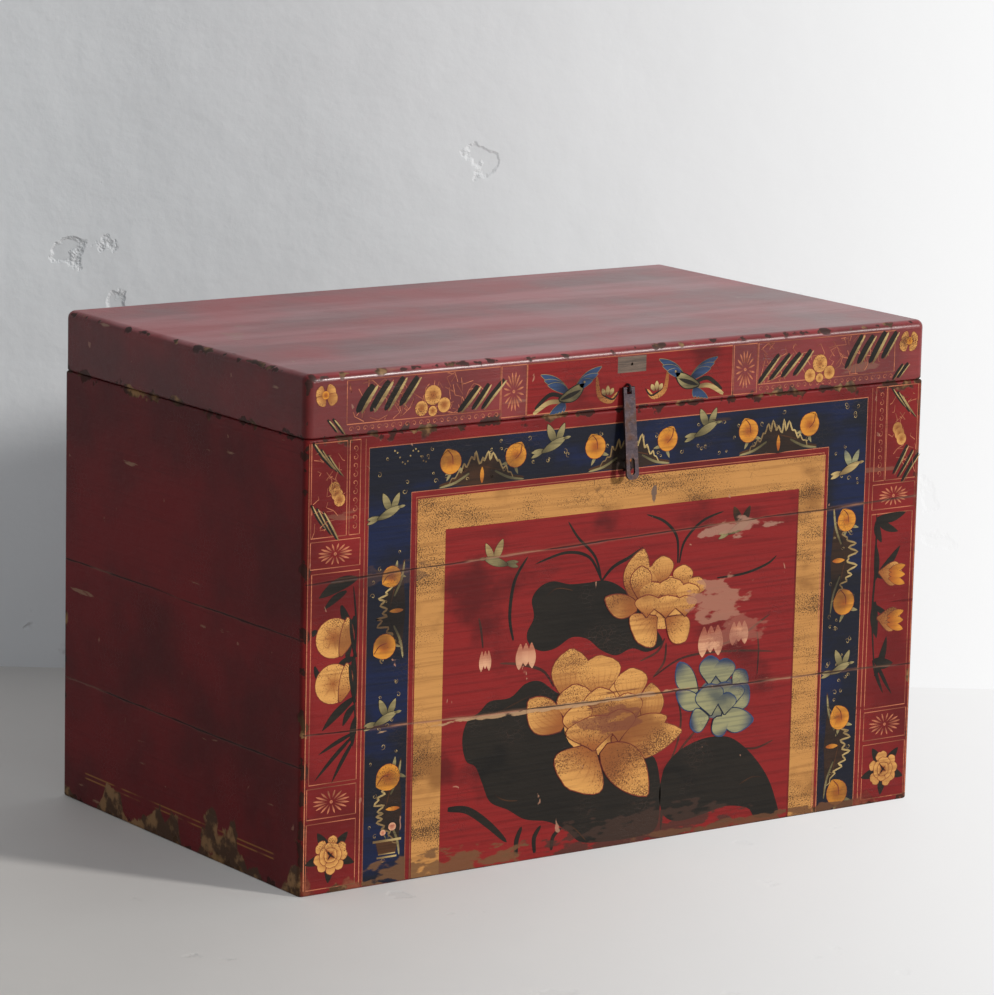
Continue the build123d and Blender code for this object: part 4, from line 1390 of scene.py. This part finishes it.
def paint_lid(p):
    """The lid's front: cracked-ice panels at the sides, two birds in the middle."""
    width = bpy.context.scene.chest_sizes.line_width
    lines = p.ply("rules", "line")
    patch_low, patch_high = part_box("lid_patch")
    left, right = ((edge.x + HALF_WIDTH) / MM for edge in map(Vector, (patch_low, patch_high)))
    notch = (LID_HIGH.z - patch_low[2]) / MM + 0.3
    middle = [
        (262, 9), (left, 9), (left, notch), (right, notch), (right, 9), (521, 9), (521, 60.5),
        (262, 60.5),
    ]
    p.ply("middle", "panel").outline(middle, 1)
    for a0, a1 in ((47, 229), (230.5, 261), (262, 521), (523, 553.5), (555, 738)):
        box_lines(lines, a0, 8.6, a1, 52 if a1 - a0 > 100 and a0 != 262 else 60.4, width * 0.8, 2)
    running_scroll(lines, 48, 57, 229, 57, 8, 1, 3.1)
    running_scroll(lines, 555, 57, 738, 57, 8, 1, 3.1)
    draw = random.Random(31)
    for a0, a1 in ((50, 226), (558, 735)):
        for _ in range(48):
            a, d = draw.uniform(a0, a1 - 12), draw.uniform(12, 48)
            points = [(a, d)]
            for _ in range(3):
                a = min(max(a + draw.uniform(-9, 13), a0), a1)
                d = min(max(d + draw.uniform(-12, 12), 10), 50.5)
                points.append((a, d))
            line(lines, points, 0.75, 1)
    slashes(p, "left_strokes", [(68 + k * 17, 28 - k * 1.2) for k in range(4)], 32, 22, 2, 7.4)
    slashes(p, "left_strokes", [(190 + k * 15, 38 - k * 1.2) for k in range(3)], 26, 22, 2, 5.8)
    slashes(p, "right_strokes", [(568 + k * 15, 37 - k * 1.2) for k in range(4)], 28, 26, 2, 5.8)
    slashes(p, "right_strokes", [(682 + k * 16, 27 - k * 1.2) for k in range(4)], 32, 20, 2, 6.6)
    blossom(p, "left_blossom", (148, 38), 12, 2)
    blossom(p, "right_blossom", (637, 43), 11.5, 2)
    rosette(p, "left_rosette", (245.5, 35), 20, 2, 0.62)
    rosette(p, "right_rosette", (538, 35), 20, 2, 0.62)
    lid_bird(p, "left_bird", (316, 40), 1, 3)
    lid_bird(p, "right_bird", (464, 38), -1, 3)
    for hand, a in ((1, 362), (-1, 424)):
        spots = [(a - hand * 14, 28), (a - hand * 10, 48), (a + hand * 4, 54), (a + hand * 12, 46)]
        stroke(p.ply("ribbons", "petal"), spots, 5.5, 3, 0.3, 0.15)
        stroke(p.ply("ribbons", "leaf"), [(x + hand * 2.5, y - 1.5) for x, y in spots[1:]], 2.0, 4)
        for k in (-1, 0, 1):
            root, tip = (a + k * 3, 48), (a + k * 7, 38 + abs(k) * 3)
            edged_petal(p, "sprigs", root, tip, 5, 4, "cream", "outline", 1.2, 0, 0.4)
    for hand, a in ((1, 22), (-1, 758)):
        for k, (x, y) in enumerate(((-8, 14), (8, 12), (-6, 28), (10, 26))):
            tip = (a + hand * x * 1.3, y + 2)
            edged_petal(
                p, "corners", (a, 21), tip, 13, 2 + k * 0.5, "petal", "outline", 1.8, 0, 0.5
            )
        disc(p.ply("corners", "fruit"), (a, 21), 4, 5)
        blades = [(a + hand * (8 + k * 7), 52 + k) for k in (0, 1)]
        slashes(p, "corners", blades, 16, -14 * hand, 2, 3.6)


# Finishes of the CAD pieces
NODE_FINISHES = {
    "front_board": "body", "back_board": "body", "left_board": "body", "right_board": "body",
    "lid_rail": "lid", "lid_board": "lid", "floor_board": "bare", "lid_batten": "batten",
    "lid_patch": "patch", "floor_pegs": "body", "seam_dowels": "bamboo", "lid_pegs": "lid",
    "hinge_pin": "iron", "hasp": "iron", "lock_staple": "iron",
}


def finish_for(name):
    """The finish whose key is the longest start of a node's name."""
    keys = [key for key in NODE_FINISHES if name.startswith(key)]
    if not keys:
        raise RuntimeError(f"no finish for {name}")
    return materials()[NODE_FINISHES[max(keys, key=len)]]


class CHEST_OT_finishes(bpy.types.Operator):
    """Give every board, peg and iron piece its finish"""

    bl_idname = "chest.finishes"
    bl_label = "Finish boards and iron"

    def execute(self, context):
        for name, piece in NODES.items():
            for slot in piece.material_slots:
                slot.material = finish_for(name)
        return {"FINISHED"}


class PaintStep:
    """What the operators share that paint one part of the chest."""

    body = "chest_body"
    top_z = BODY_HIGH.z

    def execute(self, context):
        painter = Painter(self.panel, self.body, self.top_z)
        self.paint(painter)
        painter.build()
        return {"FINISHED"}


class CHEST_OT_ground(PaintStep, bpy.types.Operator):
    """Lay the red panel, the blue border and the gold frame on the front"""

    bl_idname = "chest.ground"
    bl_label = "Paint the ground"
    panel = "ground"
    paint = staticmethod(paint_body_ground)


class CHEST_OT_border(PaintStep, bpy.types.Operator):
    """Paint fruit, rocks, birds and curls on the blue border"""

    bl_idname = "chest.border"
    bl_label = "Paint the border"
    panel = "border"
    paint = staticmethod(paint_blue_border)


class CHEST_OT_lotus(PaintStep, bpy.types.Operator):
    """Paint the lotus pond in the middle panel"""

    bl_idname = "chest.lotus"
    bl_label = "Paint the lotus"
    panel = "pond"
    paint = staticmethod(paint_middle)


class CHEST_OT_strips(PaintStep, bpy.types.Operator):
    """Paint the narrow panels down both sides of the front"""

    bl_idname = "chest.strips"
    bl_label = "Paint the side strips"
    panel = "strip"
    paint = staticmethod(paint_side_strips)


class CHEST_OT_lid(PaintStep, bpy.types.Operator):
    """Paint the lid's front edge"""

    bl_idname = "chest.lid"
    bl_label = "Paint the lid"
    panel = "lid"
    body = "lid"
    top_z = LID_HIGH.z
    paint = staticmethod(paint_lid)


# Stage
CAMERA_AIM = Vector((0.1553, 0.2148, 0.2757))
LIGHT_TURN = math.radians(33.6)
LIGHT_HEIGHT = math.radians(19.5)
LIGHT_SPREAD = math.radians(7)
FLOOR_HALF = 7
FLOOR_COLOUR = srgb(214, 210, 206)
WALL_HALF_LENGTH = 6.0
WALL_HEIGHT = 4.0
WALL_COLOUR = srgb(226, 229, 232)


def direction(turn, height):
    """The way from the chest toward a lamp or the camera; turn 0 is straight in front."""
    return Vector((
        math.sin(turn) * math.cos(height), -math.cos(turn) * math.cos(height), math.sin(height)
    ))


def plane_object(name, corners, material):
    """A flat stage piece through the given corners."""
    mesh = bpy.data.meshes.new(name)
    mesh.from_pydata([tuple(c) for c in corners], [], [tuple(range(len(corners)))])
    mesh.materials.append(material)
    piece = bpy.data.objects.new(name, mesh)
    bpy.context.scene.collection.objects.link(piece)
    return piece


def plaster_material(name, colour, aside, painted_glow, one_sided):
    """Pale plaster or floor paint with painted light: camera and mirror rays see a glow, stronger
    toward the right.
    """
    material, g, shader = new_material(name, Roughness=0.6)
    tone = g.mix(g.step(g.noise(1.3, 6), 0.3, 0.75), tuple(c * 0.92 for c in colour), colour)
    chip = g.step(g.noise(9, 9), 0.66, 0.69)
    tone = g.mix(g.times(chip, 0.3), tone, tuple(c * 0.7 for c in colour))
    g.put(shader.inputs["Base Color"], tone)
    relief = g.plus(g.noise(7, 9), g.times(chip, -0.6))
    bump(g, shader, relief, 0.45 if one_sided else 0.15, 0.012)
    along = g.add("ShaderNodeVectorMath", operation="DOT_PRODUCT")
    g.put(along.inputs[0], g.add("ShaderNodeNewGeometry").outputs["Position"])
    along.inputs[1].default_value = aside
    path = g.add("ShaderNodeLightPath").outputs
    mirrored = g.most(path["Is Glossy Ray"], path["Is Transmission Ray"])
    seen = g.most(path["Is Camera Ray"], mirrored)
    low, high = painted_glow
    # Painted light: an emission that only camera and mirror rays see, stronger toward the right, stands
    # in for a lit right side and for its reflection in the lid's top
    bright = g.plus(low, g.times(g.step(along.outputs["Value"], -0.5, 0.85), high - low))
    light = g.add("ShaderNodeEmission")
    blend = g.add("ShaderNodeMixShader")
    g.put(blend.inputs[0], g.times(bright, seen))
    g.put(blend.inputs[1], shader.outputs[0])
    g.put(blend.inputs[2], light.outputs[0])
    result = blend.outputs[0]
    if one_sided:
        clear = g.add("ShaderNodeBsdfTransparent")
        hide = g.add("ShaderNodeMixShader")
        g.put(hide.inputs[0], g.add("ShaderNodeNewGeometry").outputs["Backfacing"])
        g.put(hide.inputs[1], result)
        g.put(hide.inputs[2], clear.outputs[0])
        result = hide.outputs[0]
    g.put(material.node_tree.nodes["Material Output"].inputs["Surface"], result)
    return material


class CHEST_OT_stage(bpy.types.Operator):
    """Set up the floor, the wall, the lamps and the camera"""

    bl_idname = "chest.stage"
    bl_label = "Set the stage"

    def execute(self, context):
        s = context.scene.chest_stage
        toward = Vector((-math.sin(s.azimuth), math.cos(s.azimuth), 0))
        aside = Vector((toward.y, -toward.x, 0))
        # Painted light on the floor and the wall: the last pair of numbers is the glow that camera and
        # mirror rays see, at the left and at the right
        floor_paint = plaster_material("Floor paint", FLOOR_COLOUR, aside, (0.0, 0.9), False)
        half = FLOOR_HALF
        ground = [(-half, -half, 0), (half, -half, 0), (half, half, 0), (-half, half, 0)]
        plane_object("floor", ground, floor_paint)
        base, half_wall = toward * s.wall_distance, aside * WALL_HALF_LENGTH
        rise = Vector((0, 0, WALL_HEIGHT))
        corners = [base - half_wall, base + half_wall, base + half_wall + rise, base - half_wall + rise]
        wall_plaster = plaster_material("Wall plaster", WALL_COLOUR, aside, (0.02, 1.0), True)
        plane_object("wall", corners, wall_plaster)
        world = bpy.data.worlds.new("Room")
        context.scene.world = world
        world.use_nodes = True
        background = world.node_tree.nodes["Background"]
        background.inputs["Color"].default_value = (0.93, 0.97, 1.0, 1)
        background.inputs["Strength"].default_value = s.fill
        sun = bpy.data.lights.new("key", "SUN")
        sun.energy = s.key
        sun.angle = LIGHT_SPREAD
        sun.color = (1.0, 0.975, 0.94)
        lamp = bpy.data.objects.new("key", sun)
        context.scene.collection.objects.link(lamp)
        lamp.rotation_euler = direction(LIGHT_TURN, LIGHT_HEIGHT).to_track_quat("Z", "Y").to_euler()
        back = direction(s.azimuth, s.elevation)
        right = Vector((0, 0, 1)).cross(back).normalized()
        up = back.cross(right)
        turn_right = right * math.cos(s.roll) + up * math.sin(s.roll)
        turn_up = up * math.cos(s.roll) - right * math.sin(s.roll)
        data = bpy.data.cameras.new("camera")
        data.sensor_width = 36
        data.sensor_fit = "HORIZONTAL"
        data.lens = s.lens
        data.clip_end = 60
        camera = bpy.data.objects.new("camera", data)
        context.scene.collection.objects.link(camera)
        axes = Matrix((turn_right, turn_up, back)).transposed().to_4x4()
        camera.matrix_world = Matrix.Translation(CAMERA_AIM + back * s.distance) @ axes
        context.scene.camera = camera
        context.scene.view_settings.view_transform = "Standard"
        return {"FINISHED"}


STEPS = (
    CHEST_OT_stage, CHEST_OT_finishes, CHEST_OT_ground, CHEST_OT_border, CHEST_OT_lotus,
    CHEST_OT_strips, CHEST_OT_lid,
)


class CHEST_PT_panel(bpy.types.Panel):
    """Buttons and values of the painted chest"""

    bl_idname = "CHEST_PT_panel"
    bl_label = "Painted chest"
    bl_space_type = "VIEW_3D"
    bl_region_type = "UI"
    bl_category = "Chest"

    def draw(self, context):
        for step in STEPS:
            self.layout.operator(step.bl_idname)
        for group in (context.scene.chest_sizes, context.scene.chest_paints, context.scene.chest_stage):
            for key in group.__annotations__:
                self.layout.prop(group, key)


GROUPS_OF_VALUES = {"chest_paints": ChestPaints, "chest_sizes": ChestSizes, "chest_stage": ChestStage}


def register():
    for name, kind in GROUPS_OF_VALUES.items():
        bpy.utils.register_class(kind)
        setattr(bpy.types.Scene, name, bpy.props.PointerProperty(type=kind))
    for step in STEPS:
        bpy.utils.register_class(step)
    bpy.utils.register_class(CHEST_PT_panel)


def unregister():
    bpy.utils.unregister_class(CHEST_PT_panel)
    for step in reversed(STEPS):
        bpy.utils.unregister_class(step)
    for name, kind in GROUPS_OF_VALUES.items():
        delattr(bpy.types.Scene, name)
        bpy.utils.unregister_class(kind)


def main():
    register()
    for step in STEPS:
        area, action = step.bl_idname.split(".")
        getattr(getattr(bpy.ops, area), action)()


if __name__ == "__main__":
    main()
